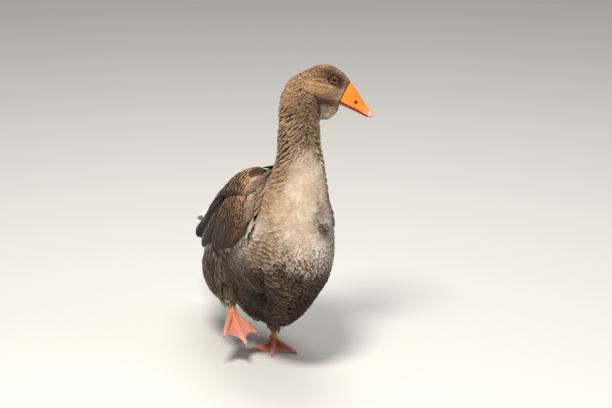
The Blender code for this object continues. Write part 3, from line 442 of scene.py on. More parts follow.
bodyMarks = (        # row of the body's sections, degrees round it
    # neck: dark under its strands, partly the feathers' own brown and partly painted shade in the furrows; paler
    # towards its root and down the front
    (20, 0, (58, 43, 33), (182, 151, 121), 0.22, 13, 5.4, 1.6, 0.4),
    (20, 95, (58, 43, 33), (182, 151, 121), 0.22, 13, 5.4, 1.6, 0.4),
    (20, -95, (58, 43, 33), (184, 153, 123), 0.22, 13, 5.4, 1.6, 0.4),
    (18, 0, (54, 40, 30), (172, 142, 113), 0.22, 14, 5.6, 1.6, 0.4),
    (18, 95, (56, 41, 31), (178, 148, 119), 0.22, 14, 5.6, 1.6, 0.4),
    (18, -95, (56, 41, 31), (182, 151, 121), 0.22, 14, 5.6, 1.6, 0.4),
    # painted shade: the front of the neck just under the throat is dark in the head's shadow
    (19.3, 180, (58, 44, 34), (138, 113, 90), 0.2, 11, 5.2, 1.4, 0.4),
    (18, 180, (60, 45, 35), (158, 130, 104), 0.2, 12, 5.4, 1.4, 0.4),
    (17.2, 180, (88, 69, 54), (172, 145, 120), 0.18, 12, 5.8, 1.2, 0.4),
    (17.2, -130, (60, 45, 35), (178, 147, 118), 0.2, 13, 5.6, 1.6, 0.4),
    (17.2, 130, (76, 58, 45), (172, 145, 119), 0.2, 13, 5.6, 1.6, 0.4),
    (16.3, 0, (62, 46, 35), (168, 138, 111), 0.22, 14, 6, 1.6, 0.4),
    (16.2, 85, (66, 50, 38), (172, 143, 116), 0.22, 14, 6, 1.6, 0.4),
    (16.2, -85, (64, 48, 37), (180, 149, 119), 0.22, 14, 6, 1.6, 0.4),
    (16.2, -112, (88, 68, 52), (184, 154, 125), 0.2, 13, 6.2, 1.4, 0.4),
    (16.1, -160, (192, 168, 145), (210, 190, 169), 0.1, 12, 7.2, 0.8, 0.3),
    (16.4, 180, (180, 156, 133), (202, 181, 160), 0.1, 12, 7, 0.8, 0.3),
    (16.2, 130, (150, 126, 105), (190, 167, 145), 0.12, 13, 6.8, 1, 0.3),
    (15.6, 144, (198, 177, 155), (216, 199, 181), 0.08, 13, 8, 0.7, 0.3),
    (15.4, 180, (204, 182, 157), (219, 201, 180), 0.08, 13, 8.4, 0.6, 0.3),
    (15, -150, (204, 181, 155), (219, 200, 178), 0.08, 14, 8.6, 0.6, 0.3),
    (15, -112, (134, 107, 82), (180, 150, 121), 0.14, 15, 7.6, 1.2, 0.3),
    (14.5, 0, (80, 61, 47), (162, 134, 109), 0.2, 19, 9, 1.8, 0.3),
    (14.3, 75, (96, 75, 59), (170, 143, 117), 0.18, 18, 8.5, 1.8, 0.3),
    (14.3, -75, (100, 77, 59), (176, 147, 118), 0.18, 18, 8.5, 1.8, 0.3),
    (14.8, 135, (184, 162, 140), (208, 190, 171), 0.1, 15, 9, 0.8, 0.3),
    # breast
    (14.6, -154, (216, 195, 167), (228, 210, 187), 0.08, 15, 10, 0.6, 0.3),
    (14, 170, (208, 187, 162), (221, 204, 183), 0.08, 16, 10.5, 0.7, 0.3),
    (13.6, -165, (214, 193, 167), (226, 209, 187), 0.08, 17, 11.5, 0.8, 0.4),
    (13.2, -110, (198, 168, 136), (214, 189, 161), 0.1, 17, 11, 1, 0.3),
    (13.3, -88, (172, 137, 104), (198, 167, 134), 0.12, 19, 12, 1.4, 0.3),
    (11.9, -71, (160, 125, 94), (196, 163, 130), 0.14, 22, 13, 2, 0.4),
    (12.9, -137, (206, 184, 159), (221, 203, 182), 0.1, 19, 12.5, 1.2, 0.4),
    (12.8, -176, (204, 183, 160), (220, 203, 183), 0.1, 19, 12.5, 1.4, 0.5),
    (12.2, -132, (184, 161, 138), (210, 191, 171), 0.12, 22, 13, 2.2, 0.6),
    (12.4, -157, (198, 177, 154), (218, 201, 183), 0.12, 22, 13, 2, 0.65),
    (12, -115, (140, 115, 93), (188, 165, 142), 0.14, 24, 14, 2.4, 0.6),
    (13.6, 108, (88, 66, 49), (178, 147, 117), 0.14, 19, 12, 2, 0.4),
    (14.4, 112, (120, 96, 76), (176, 150, 124), 0.14, 18, 11, 1.6, 0.4),
    (13.8, 155, (110, 89, 71), (168, 145, 122), 0.1, 18, 10, 1, 0.5),
    (13.3, 141, (200, 188, 178), (227, 218, 209), 0.1, 20, 10, 4, 0.75),
    # painted shadow under the pale puffs of the row above
    (13, 149, (66, 53, 44), (124, 106, 91), 0.1, 18, 10, 1.4, 0.6),
    (12.3, 158, (210, 196, 182), (230, 220, 209), 0.12, 24, 12, 4.2, 0.8),
    (12.2, 172, (186, 169, 152), (219, 205, 190), 0.14, 24, 12, 3.4, 0.8),
    (12.5, 125, (140, 120, 103), (196, 179, 162), 0.14, 24, 12, 2.8, 0.5),
    # the pale puffs over the wrist of the right wing, and their like on the left
    (8.3, -60, (224, 212, 201), (240, 232, 225), 0.1, 26, 13, 3.4, 0.6),
    (9.2, -69, (220, 206, 193), (238, 229, 220), 0.1, 26, 13, 3.4, 0.6),
    (7.2, -62, (188, 169, 152), (222, 208, 194), 0.12, 28, 15, 3, 0.5),
    (6.4, -68, (120, 97, 78), (196, 172, 148), 0.14, 30, 20, 2.6, 0.4),
    (10.4, -76, (196, 177, 158), (224, 209, 193), 0.12, 26, 13, 2.8, 0.5),
    (10.3, -92, (120, 97, 78), (186, 163, 140), 0.14, 28, 16, 2.4, 0.4),
    (8.3, 60, (200, 186, 174), (226, 217, 208), 0.1, 26, 13, 3.4, 0.6),
    (10.6, 78, (160, 139, 120), (204, 186, 168), 0.12, 26, 13, 2.8, 0.5),
    # the breast's ragged lower edge
    (11.85, -165, (112, 90, 72), (196, 178, 160), 0.22, 26, 13, 3, 0.9),
    (11.8, 176, (120, 98, 80), (194, 176, 158), 0.2, 26, 13, 3, 0.9),
    (11.8, -140, (96, 76, 60), (184, 164, 144), 0.2, 26, 13, 3, 0.9),
    # paunch and flanks: dark brown, partly their own colour and partly painted shade under the body
    (11.3, -162, (54, 41, 32), (108, 88, 70), 0.12, 26, 12, 3, 0.9),
    (11.2, -138, (58, 44, 34), (112, 92, 73), 0.12, 26, 12, 3, 0.85),
    (11.2, 168, (74, 57, 44), (124, 102, 82), 0.12, 26, 12, 3, 0.85),
    (9.5, -115, (42, 32, 25), (96, 77, 60), 0.08, 26, 12, 2, 0.7),
    (8.6, -126, (38, 29, 23), (84, 67, 52), 0.08, 24, 11, 2, 0.8),
    (7.2, -142, (42, 32, 25), (92, 74, 58), 0.08, 24, 11, 2.4, 0.9),
    (6.2, -136, (124, 104, 86), (200, 184, 167), 0.16, 24, 10, 7, 0.9),
    (5.9, -124, (90, 72, 57), (180, 160, 139), 0.14, 28, 16, 4, 0.7),
    (6, -152, (128, 109, 92), (198, 182, 165), 0.16, 24, 10, 8, 0.9),
    (10.2, 180, (56, 43, 33), (104, 85, 67), 0.1, 26, 12, 3, 0.9),
    (9.4, 180, (62, 48, 37), (104, 85, 68), 0.1, 28, 12, 3, 0.9),
    (8.5, 180, (78, 62, 49), (116, 97, 79), 0.1, 28, 12, 3, 0.9),
    (11.2, -110, (104, 83, 66), (184, 162, 140), 0.13, 30, 24, 2.2, 0.3),
    (10.2, -130, (76, 59, 46), (178, 155, 131), 0.11, 33, 30, 2.6, 0.3),
    (9, -112, (78, 61, 48), (184, 161, 137), 0.11, 34, 34, 2.8, 0.3),
    (9, -145, (72, 56, 43), (160, 137, 114), 0.11, 32, 26, 2.8, 0.5),
    (7, -105, (78, 61, 48), (184, 162, 139), 0.11, 36, 36, 2.8, 0.3),
    (7, -140, (74, 58, 45), (162, 141, 118), 0.11, 33, 27, 2.8, 0.5),
    (5, -105, (84, 67, 54), (186, 166, 146), 0.11, 38, 36, 2.8, 0.3),
    (11.2, 110, (96, 77, 60), (178, 158, 137), 0.12, 30, 22, 2.2, 0.4),
    (10.2, 135, (82, 64, 49), (126, 105, 84), 0.1, 32, 22, 2.2, 0.6),
    (9, 112, (78, 61, 46), (152, 130, 106), 0.11, 34, 32, 2.6, 0.3),
    (9, 145, (82, 64, 48), (118, 98, 77), 0.1, 32, 18, 2.4, 0.7),
    (7, 105, (78, 61, 48), (176, 154, 131), 0.11, 36, 36, 2.8, 0.3),
    (7, 140, (78, 61, 46), (128, 108, 87), 0.1, 34, 20, 2.8, 0.6),
    (5, 105, (84, 67, 54), (184, 164, 143), 0.11, 38, 36, 2.8, 0.3),
    # back, rump, vent and the root of the tail
    (12.8, 0, (128, 106, 90), (170, 148, 128), 0.16, 24, 15, 1.4, 0.3),
    (10, 0, (88, 68, 54), (160, 130, 102), 0.16, 34, 21, 1.8, 0.3),
    (6, 0, (72, 56, 45), (140, 114, 90), 0.14, 40, 25, 1.8, 0.3),
    (3, 0, (92, 80, 72), (140, 126, 114), 0.12, 38, 23, 1.8, 0.4),
    (1, 0, (214, 209, 203), (236, 233, 229), 0.1, 36, 20, 1.6, 0.5),
    (1, 95, (214, 208, 202), (236, 233, 229), 0.1, 34, 18, 2.4, 0.7),
    (1, -95, (214, 208, 202), (236, 233, 229), 0.1, 34, 18, 2.4, 0.7),
    (2.4, 180, (222, 217, 211), (240, 238, 234), 0.08, 32, 15, 2.8, 0.9),
    (0.6, 180, (226, 222, 217), (242, 240, 237), 0.08, 32, 15, 2.8, 0.9),
    (3, 110, (132, 115, 101), (204, 192, 180), 0.14, 38, 22, 2.6, 0.5),
    (3, -110, (132, 115, 101), (204, 192, 180), 0.14, 38, 22, 2.6, 0.5),
    (3, -85, (216, 211, 205), (238, 235, 231), 0.1, 32, 16, 3, 0.65),
    (4.6, 180, (126, 108, 93), (166, 150, 136), 0.1, 30, 13, 3, 0.9),
    (6.6, 180, (92, 75, 61), (134, 115, 98), 0.1, 28, 12, 3, 0.9),
)
spotMarks = (        # x, y, z in millimetres: thighs, paler where the shanks come out
    (82, 6, 150, (90, 72, 57), (158, 138, 117), 0.15, 34, 18, 2.6, 0.5),
    (-112, 4, 168, (88, 70, 56), (164, 143, 121), 0.15, 34, 18, 2.6, 0.5),
    (42, 10, 80, (128, 110, 92), (168, 150, 132), 0.12, 20, 9, 2.4, 0.9),
    (-75, -20, 108, (150, 132, 114), (206, 192, 178), 0.14, 20, 9, 2.6, 0.9),
)
markPlaces, markLooks = [], []
for s, q, t, *look in headMarks:
    for side in (1, -1) if q else (1,):
        markPlaces.append(headPoint(s / 1000, side * q / 1000, t / 1000))
        markLooks.append(look)
for row, degrees, *look in bodyMarks:
    share = np.array([row / (len(bodySections) - 1)])
    markPlaces.append(bodyPoints(share, np.array([math.radians(degrees)]))[0])
    markLooks.append(look)
for x, y, z, *look in spotMarks:
    markPlaces.append(Vector((x / 1000, y / 1000, z / 1000)))
    markLooks.append(look)
markPlaces = np.array(markPlaces, float)
markValues = np.array([(*paint(*ground)[:3], *paint(*edge)[:3], *sizes) for ground, edge, *sizes in markLooks])
# ragged feathers are narrower
markValues[:, 8] *= 1 - 0.35 * np.clip((markValues[:, 10] - 0.4) / 0.3, 0, 1)
markSoftness, markPower = 0.0045, 4.0


def marksAt(places):
    # ground 0:3, edge 3:6, edge share 6, length 7, width 8, lift 9, ragged 10; sizes come out in metres
    places = np.atleast_2d(places)
    apart = np.linalg.norm(places[:, None] - markPlaces[None], axis=2)
    weight = 1.0 / (apart + markSoftness) ** markPower
    values = weight @ markValues / weight.sum(axis=1, keepdims=True)
    values[:, 7:10] *= 0.001
    return values


def addColours(mesh, name, colours):
    layer = mesh.attributes.new(name, "FLOAT_COLOR", "POINT")
    layer.data.foreach_set("color", colours.ravel())


skinDepths = coatDepth(shellPlaces)
skin.data.vertices.foreach_set("co", (shellPlaces - shellNormals * skinDepths[:, None]).ravel())
skin.data.update()
skinMarks = marksAt(shellPlaces)
addColours(skin.data, "ground", np.column_stack([skinMarks[:, 0:3], np.ones(len(skinMarks))]))
inEditMode(skin, (bpy.ops.uv.smart_project, {"angle_limit": math.radians(66), "island_margin": 0.002}))
skin.data.uv_layers[0].name = "OFBake"
bpy.ops.object.shade_smooth()
cornerUvs = meshNumbers(skin.data.uv_layers["OFBake"].data, "uv", 2)
faceStarts = meshNumbers(skin.data.polygons, "loop_start", 1).astype(int)
faceUvs = np.array([cornerUvs[start:start + len(face)].mean(axis=0)
                    for start, face in zip(faceStarts, shellFaces)])
settle(skin, "plumage", *skinSettings["nodes"])
print("skin:", len(skin.data.polygons), "faces")

# Where each feather of the coat grows, and which way it lies

eyeMiddles = [headPoint(eyeMeasures["s"], side * eyeMeasures["q"], eyeMeasures["t"]) for side in (-1, 1)]
wingTrees = []
for nodeName in ("wing_left", "wing_right"):
    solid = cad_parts[nodeName].data
    wingTrees.append(BVHTree.FromPolygons([vertex.co.copy() for vertex in solid.vertices],
                                          [tuple(face.vertices) for face in solid.polygons]))
coatSettings = {
    "rowGap": 0.30, "columnGap": 0.52,           # between roots, as shares of a feather's length and width
    "crowding": 0.70,                            # nearest that two roots come, as a share of their spacing
    "bare": 0.95, "bareCrowding": 0.90,          # the same for roots that fill what the rows leave bare
    "offShell": 0.0045,                          # farthest that a planned root may lie from the shell
    "eyeReach": 0.016, "eyeClear": 0.0094, "browOver": 0.0022, "billClear": 0.052,
    "neckLie": 44.0, "sway": 7.0,
    # painted shade under the body: the coat's colours are darkened further down the belly
    "paintedBellyShade": 0.42, "paintedBellyShadeLow": 0.210, "paintedBellyShadeSpan": 0.085, "paintedBellyShadeTo": 0.06,      # colours grow darker down the belly
    "headTint": (1.08, 1.0, 0.90), "sunken": 0.0016, "rootDeep": 0.60,
    "lapTo": -0.055,                             # in front of this the coat laps over the wings' edges
    "lapFrom": 0.003, "lapMost": 0.0105, "lapClear": 0.0010, "lapReach": 0.030, "lapEase": 0.85,
    "lapAhead": 0.30, "lapWiden": 1.5, "lapTwist": (0.12, 0.26), "lapApart": 0.003,
    "seed": 41,
}
chances = random.Random(coatSettings["seed"])


def lattice(pointsAt, shareLow, shareHigh):
    # rows across the lie of the coat, each row's places half a step from the next one's
    angles = np.linspace(-math.pi, math.pi, 121)
    shares = np.linspace(shareLow, shareHigh, 150)
    grid = pointsAt(np.tile(shares, len(angles)), np.repeat(angles, len(shares)))
    sizes = marksAt(grid)
    grid = grid.reshape(len(angles), len(shares), 3)
    rowStep = sizes[:, 7].reshape(grid.shape[:2]) * coatSettings["rowGap"]
    steps = np.linalg.norm(np.diff(grid, axis=1), axis=2) / ((rowStep[:, 1:] + rowStep[:, :-1]) / 2)
    reached = np.concatenate([np.zeros((len(angles), 1)), np.cumsum(steps, axis=1)], axis=1)
    found = []
    for row in range(int(reached[:, -1].max()) + 1):
        rowShares = np.array([np.interp(row, reached[i], shares) for i in range(len(angles))])
        inside = reached[:, -1] >= row
        ring = pointsAt(rowShares, angles)
        widths = marksAt(ring)[:, 8] * coatSettings["columnGap"]
        gaps = np.linalg.norm(np.diff(ring, axis=0), axis=1) / ((widths[1:] + widths[:-1]) / 2)
        passed = np.concatenate([[0.0], np.cumsum(gaps)])
        wanted = np.arange(0.5 * (row % 2), passed[-1], 1.0)
        places = np.interp(wanted, passed, np.arange(len(angles)))
        for place in places:
            i = min(int(place), len(angles) - 2)
            if inside[i] and inside[i + 1]:
                f = place - i
                found.append((rowShares[i] * (1 - f) + rowShares[i + 1] * f,
                              angles[i] * (1 - f) + angles[i + 1] * f))
    return np.array(found)


def lieOf(pointsAt, shares, angles):
    # towards lower shares, and the way round towards the back
    e = 0.004
    down = unit(pointsAt(shares - e, angles) - pointsAt(shares + e, angles))
    around = unit(pointsAt(shares, angles * 0.98) - pointsAt(shares, angles * 1.02 + 1e-6))
    return down, around


def thighPoints(middle, halfSizes, tilt):
    lean = Matrix.Rotation(-tilt, 3, "X")
    leanRows = np.array([list(row) for row in lean])

    def pointsAt(shares, angles):
        out = np.sin(np.clip(shares, 0, 1) * math.pi)
        local = np.stack([halfSizes[0] * np.sin(angles) * out, halfSizes[1] * np.cos(shares * math.pi),
                          halfSizes[2] * np.cos(angles) * out], 1)
        return local @ leanRows.T + np.array(middle) + bodyShift
    return pointsAt


class Roots:
    # the roots kept so far, in cells, so that a new one is only set where there is room
    cell = 0.02

    def __init__(self):
        self.cells, self.places, self.ways, self.crests = {}, [], [], []

    def crowded(self, place, room):
        low = [int(math.floor((value - room) / self.cell)) for value in place]
        high = [int(math.floor((value + room) / self.cell)) for value in place]
        for i in range(low[0], high[0] + 1):
            for j in range(low[1], high[1] + 1):
                for k in range(low[2], high[2] + 1):
                    for other in self.cells.get((i, j, k), ()):
                        if (self.places[other] - place).length_squared < room * room:
                            return True
        return False

    def keep(self, place, way, crest):
        key = tuple(int(math.floor(value / self.cell)) for value in place)
        self.cells.setdefault(key, []).append(len(self.places))
        self.places.append(place)
        self.ways.append(way)
        self.crests.append(crest)


roots = Roots()


def spacingOf(mark):
    return math.sqrt(mark[7] * coatSettings["rowGap"] * mark[8] * coatSettings["columnGap"])


def plant(planned, lies, crests):
    sizes = marksAt(planned)
    kept = 0
    for index in range(len(planned)):
        point = Vector(planned[index])
        hit, _, _, apart = shell.find_nearest(point)
        if hit is None or apart > coatSettings["offShell"]:
            continue
        if roots.crowded(hit, spacingOf(sizes[index]) * coatSettings["crowding"]):
            continue
        roots.keep(hit, Vector(lies[index]), crests[index])
        kept += 1
    return kept


lastRow = len(bodySections) - 1
planned = lattice(headPoints, 0.04, 0.995)
down, around = lieOf(headPoints, planned[:, 0], planned[:, 1])
places = headPoints(planned[:, 0], planned[:, 1])
ahead = (places - np.array(headOrigin)) @ np.array(headForward)
sinking = np.clip((0.018 - ahead) / 0.05, 0.0, 1.0)[:, None] * 1.1 * np.abs(np.sin(planned[:, 1]))[:, None]
lies = unit(down + np.array((0.0, 0.0, -1.0)) * sinking)
pouch = np.clip((-0.028 - (places - np.array(headOrigin)) @ np.array(headUp)) / 0.010, 0.0, 1.0)[:, None]
lies = unit(lies * (1 - pouch) + (np.array((0.0, 0.0, -0.6)) - np.array(headForward) * 0.8) * pouch)
streaks = np.array([noise.noise(Vector((angle * 9.0, reach * 40.0, 5.0)))
                    for angle, reach in zip(planned[:, 1], ahead)])
crests = 0.4 + 0.60 * streaks * np.clip((0.040 - ahead) / 0.02, 0.25, 1.0)
print("head roots:", plant(places, lies, np.clip(crests, 0.05, 0.8)))

# the neck's pale strands: tufts in lines that run down and back, round both sides of it
strandTufts = {
    "turn": 1.19, "radius": 0.039, "apart": 0.0060, "step": 0.0066, "wave": 0.0016, "crowding": 0.35,
    "top": 20.9, "bottom": 13.7, "rowHeight": 0.029,             # as rows of the body's sections
    "frontDegrees": (96, 118, 131, 150, 180), "frontRows": (13.7, 14.4, 15.6, 16.5, 16.9),
    "missing": 0.22, "looser": 2.0,                              # in the middle of the front
    "length": 0.0150, "width": 0.0036, "edge": 0.10, "tint": (1.06, 1.0, 0.92),
    "lift": (0.0024, 0.0040), "depth": 0.0004, "ground": (0.58, 0.92), "pale": (0.88, 1.10),
}
rise = strandTufts["turn"]
strandShares, strandAngles, strandFronts = [], [], []
for side in (-1, 1):
    around = math.pi * strandTufts["radius"]
    for line in range(int((0.21 + rise * around) / (strandTufts["apart"] * math.hypot(1, rise)))):
        base = line * strandTufts["apart"] * math.hypot(1, rise) - rise * around
        phase = chances.uniform(0, 6.3)
        reach = chances.uniform(0, strandTufts["step"])
        while reach < around:
            height = base + rise * reach + strandTufts["wave"] * math.sin(phase + reach * 210)
            row = strandTufts["bottom"] + height / strandTufts["rowHeight"]
            turnHere = reach / strandTufts["radius"]
            front = np.interp(math.degrees(turnHere), strandTufts["frontDegrees"], strandTufts["frontRows"])
            facing = limited((math.degrees(turnHere) - 115) / 50)
            missing = chances.random() < strandTufts["missing"] * facing
            if front + chances.uniform(-0.25, 0.25) < row < strandTufts["top"] and not missing:
                strandFronts.append(facing)
                strandShares.append(row / lastRow)
                strandAngles.append(side * turnHere)
            reach += strandTufts["step"] / math.hypot(1, rise) * chances.uniform(0.9, 1.1)
strandShares, strandAngles = np.array(strandShares), np.array(strandAngles)
down, around = lieOf(bodyPoints, strandShares, strandAngles)
lies = unit(down * rise + around)
strandCount = len(roots.places)
for place, way, facing in zip(bodyPoints(strandShares, strandAngles), lies, strandFronts):
    hit, _, _, apart = shell.find_nearest(Vector(place))
    if apart < 0.009 and not roots.crowded(hit, strandTufts["step"] * strandTufts["crowding"]):
        roots.keep(hit, Vector(way), 2.0 + facing)
print("strand roots:", len(roots.places) - strandCount)

planned = lattice(bodyPoints, 0.004, 20.6 / lastRow)
down, around = lieOf(bodyPoints, planned[:, 0], planned[:, 1])
row, angle = planned[:, 0] * lastRow, np.abs(planned[:, 1])
onNeck = np.clip((row - 13.8) / 1.6, 0.0, 1.0) * np.clip((2.75 - angle) / 0.6, 0.0, 1.0)
onFlank = np.clip((row - 3.0) / 2.0, 0.0, 1.0) * np.clip((12.5 - row) / 1.5, 0.0, 1.0) * np.sin(angle)
swing = np.radians(coatSettings["neckLie"]) * onNeck * np.clip(np.sin(angle), 0, 1) ** 0.6 - 0.20 * onFlank
lies = unit(down * np.cos(swing)[:, None] + around * np.sin(swing)[:, None])
crests = 0.4 - 0.4 * onNeck * np.clip((20.4 - row) / 0.8, 0.0, 1.0)
print("body roots:", plant(bodyPoints(planned[:, 0], planned[:, 1]), lies, crests))

thighs = (
    thighPoints((0.038, -0.006, 0.138), (0.044, 0.088, 0.084), math.radians(9.0)),
    thighPoints((-0.055, -0.002, 0.165), (0.044, 0.092, 0.068), math.radians(13.0)),
)
for thigh in thighs:
    planned = lattice(thigh, 0.02, 0.98)
    down, around = lieOf(thigh, planned[:, 0], planned[:, 1])
    lies = unit(down + np.array((0.0, 0.0, -0.55)))
    print("thigh roots:", plant(thigh(planned[:, 0], planned[:, 1]), lies, np.full(len(planned), 0.4)))

# what the rows leave bare is filled, each root lying as its nearest neighbour does
neighbours = KDTree(len(roots.places))
for index, place in enumerate(roots.places):
    neighbours.insert(place, index)
neighbours.balance()
faceMarks = marksAt(faceMiddles)
order = list(range(len(faceMiddles)))
chances.shuffle(order)
filled = 0
for index in order:
    spacing = spacingOf(faceMarks[index])
    place = Vector(faceMiddles[index])
    _, nearest, apart = neighbours.find(place)
    if apart > spacing * coatSettings["bare"] and not roots.crowded(place, spacing * coatSettings["bareCrowding"]):
        roots.keep(place, roots.ways[nearest], roots.crests[nearest])
        filled += 1
print("filled:", filled, "roots in all:", len(roots.places))


def hidden(place, normal):
    return any(tree.ray_cast(place + normal * 0.0005, normal, 0.030)[0] is not None for tree in wingTrees)


def overWing(place, normal):
    # how far out a feather must lie to pass over the wing's edge
    over, reach = 0.0, coatSettings["lapReach"]
    for tree in wingTrees:
        struck = tree.ray_cast(place + normal * reach, -normal, reach)[3]
        if struck is not None:
            over = max(over, reach - struck + coatSettings["lapClear"])
    return min(over, coatSettings["lapMost"])


def layPath(place, way, length, shares):
    # a feather's spine, laid along the shell from its root
    points, normals, last = [], [], 0.0
    for share in shares:
        place = place + way * (length * (share - last))
        last = share
        place, _, face, _ = shell.find_nearest(place)
        normal = shellNormal[face]
        way = way - normal * way.dot(normal)
        way.normalize()
        points.append(place)
        normals.append(normal)
    return points, normals


# How one feather is built: stations along it, its outline, and how its end rounds off

featherShapes = {
    "tiny": {"stations": (0.0, 0.45, 0.80, 1.0), "outline": (0.55, 1.0, 0.86, 0.34), "round": (0, 0, 0.03, 0.10),
             "across": 3, "arch": 0.16, "thickness": 0.00012},
    "body": {"stations": (0.0, 0.28, 0.56, 0.80, 0.93, 1.0), "outline": (0.40, 0.80, 1.0, 0.97, 0.84, 0.56),
             "round": (0, 0, 0.01, 0.03, 0.06, 0.09), "across": 5, "arch": 0.12, "thickness": 0.00018},
    "lock": {"stations": (0.0, 0.25, 0.60, 0.88, 1.0), "outline": (0.45, 0.92, 1.0, 0.78, 0.34),
             "round": (0, 0, 0, 0.02, 0.05), "across": 5, "arch": 0.62, "thickness": 0.00030},
    "covert": {"stations": (0.0, 0.25, 0.50, 0.75, 0.92, 1.0), "outline": (0.45, 0.85, 1.0, 1.0, 0.95, 0.76),
               "round": (0, 0, 0, 0.01, 0.03, 0.05), "across": 5, "arch": 0.12, "thickness": 0.00030},
    "fluffy": {"stations": (0.0, 0.40, 0.75, 1.0), "outline": (0.45, 0.92, 1.0, 0.62), "round": (0, 0, 0.03, 0.10),
               "across": 5, "arch": 0.12, "thickness": 0.00015},
    "quill": {"stations": (0.0, 0.20, 0.42, 0.64, 0.82, 0.94, 1.0),
              "outline": (0.45, 0.84, 0.98, 1.0, 0.92, 0.66, 0.24),
              "round": (0, 0, 0, 0.01, 0.02, 0.03, 0.04), "across": 5, "arch": 0.12, "thickness": 0.00030},
}


def buildFeathers(name, spines, normals, widths, shape, marks, rootUvs, seed, ragged):
    # thin closed vanes: one sheet over the other, sharing their rim
    rng = np.random.default_rng(seed)
    spines, normals = np.array(spines), np.array(normals)
    count, stations = spines.shape[:2]
    across = shape["across"]
    x = np.linspace(-1, 1, across)
    tangents = unit(np.gradient(spines, axis=1))
    sides = unit(np.cross(tangents, normals))
    ups = np.cross(sides, tangents)
    long = np.linalg.norm(np.diff(spines, axis=1), axis=2).sum(axis=1)
    half = widths[:, None] / 2 * np.array(shape["outline"])[None]
    top = spines[:, :, None] + sides[:, :, None] * (half[:, :, None] * x)[..., None]
    top += ups[:, :, None] * (shape["arch"] * half[:, :, None] * (1 - x * x))[..., None]
    back = np.array(shape["round"])[None, :, None] * (x * x)[None, None] * long[:, None, None]
    torn = np.zeros((count, stations, across))
    torn[:, -1] = rng.uniform(0.0, 0.16, (count, across))
    torn[:, -2] = rng.uniform(0.0, 0.05, (count, across))
    torn *= (ragged * long)[:, None, None]
    top -= tangents[:, :, None] * (back + torn)[..., None]
    under = top - ups[:, :, None] * shape["thickness"]
    under = under[:, 1:-1, 1:-1]
    inner = (stations - 2) * (across - 2)
    each = stations * across + inner
    coords = np.concatenate([top.reshape(count, -1, 3), under.reshape(count, -1, 3)], axis=1)
    topIndex = np.arange(stations * across).reshape(stations, across)
    underIndex = topIndex.copy()
    underIndex[1:-1, 1:-1] = stations * across + np.arange(inner).reshape(stations - 2, across - 2)
    faces = []
    for i in range(stations - 1):
        for j in range(across - 1):
            a, b, c, d = topIndex[i, j], topIndex[i, j + 1], topIndex[i + 1, j + 1], topIndex[i + 1, j]
            faces += [(a, b, c), (a, c, d)]
            a, b, c, d = underIndex[i, j], underIndex[i, j + 1], underIndex[i + 1, j + 1], underIndex[i + 1, j]
            faces += [(a, c, b), (a, d, c)]
    faces = np.array(faces)
    triangles = (faces[None] + (np.arange(count) * each)[:, None, None]).reshape(-1, 3)
    mesh = bpy.data.meshes.new(name)
    mesh.vertices.add(count * each)
    mesh.vertices.foreach_set("co", coords.ravel())
    mesh.loops.add(triangles.size)
    mesh.loops.foreach_set("vertex_index", triangles.ravel().astype(np.int32))
    mesh.polygons.add(len(triangles))
    mesh.polygons.foreach_set("loop_start", np.arange(0, triangles.size, 3, dtype=np.int32))
    mesh.update(calc_edges=True)
    mesh.validate()
    stationShares = np.array(shape["stations"])
    gridAcross = np.tile(x, stations)
    gridAlong = np.repeat(stationShares, across)
    underAcross = np.tile(x[1:-1], stations - 2)
    underAlong = np.repeat(stationShares[1:-1], across - 2)
    vane = np.zeros((count, each, 3))
    vane[:, :, 0] = np.concatenate([gridAcross, underAcross])
    vane[:, :, 1] = np.concatenate([gridAlong, underAlong])
    vane[:, :, 2] = rng.uniform(0, 1, count)[:, None]
    layer = mesh.attributes.new("vane", "FLOAT_VECTOR", "POINT")
    layer.data.foreach_set("vector", vane.ravel())
    addColours(mesh, "ground", np.repeat(np.column_stack([marks[:, 0:3], np.ones(count)]), each, axis=0))
    addColours(mesh, "edge", np.repeat(marks[:, 3:7], each, axis=0))
    patch = np.repeat(rootUvs, each, axis=0)
    patch = patch + vane.reshape(-1, 3)[:, :2] * (0.0015, 0.003) - (0.0, 0.0015)
    uvs = mesh.uv_layers.new(name="OFBake")
    uvs.data.foreach_set("uv", patch[triangles.ravel()].ravel())
    piece = bpy.data.objects.new(name, mesh)
    bpy.context.scene.collection.objects.link(piece)
    selectOnly(piece)
    bpy.ops.object.shade_smooth_by_angle(angle=math.radians(60))
    print(name + ":", count, "feathers,", len(mesh.polygons), "triangles")
    return piece


class Flock:
    # one piece's feathers, gathered until they are built
    def __init__(self):
        self.spines, self.normals, self.widths, self.marks, self.uvs = [], [], [], [], []

    def add(self, spine, normals, width, mark, face=None):
        # a root takes its place in the bake from the face under it
        if face is None:
            face = shell.find_nearest(Vector(spine[0]))[2]
        self.spines.append(spine)
        self.normals.append(normals)
        self.widths.append(width)
        self.marks.append(mark)
        self.uvs.append(faceUvs[face])

    def build(self, name, shapeName, finish, seed, slotName, *nodeNames, ragged=None):
        marks = np.array(self.marks)
        torn = marks[:, 10] if ragged is None else np.full(len(marks), ragged)
        piece = buildFeathers(name, self.spines, self.normals, np.array(self.widths), featherShapes[shapeName],
                              marks, np.array(self.uvs), seed, torn)
        piece.data.materials.append(finish)
        settle(piece, slotName, *nodeNames)

# Plumage: ground colour with a pale edge round each feather's end, barbs that slant off its shaft

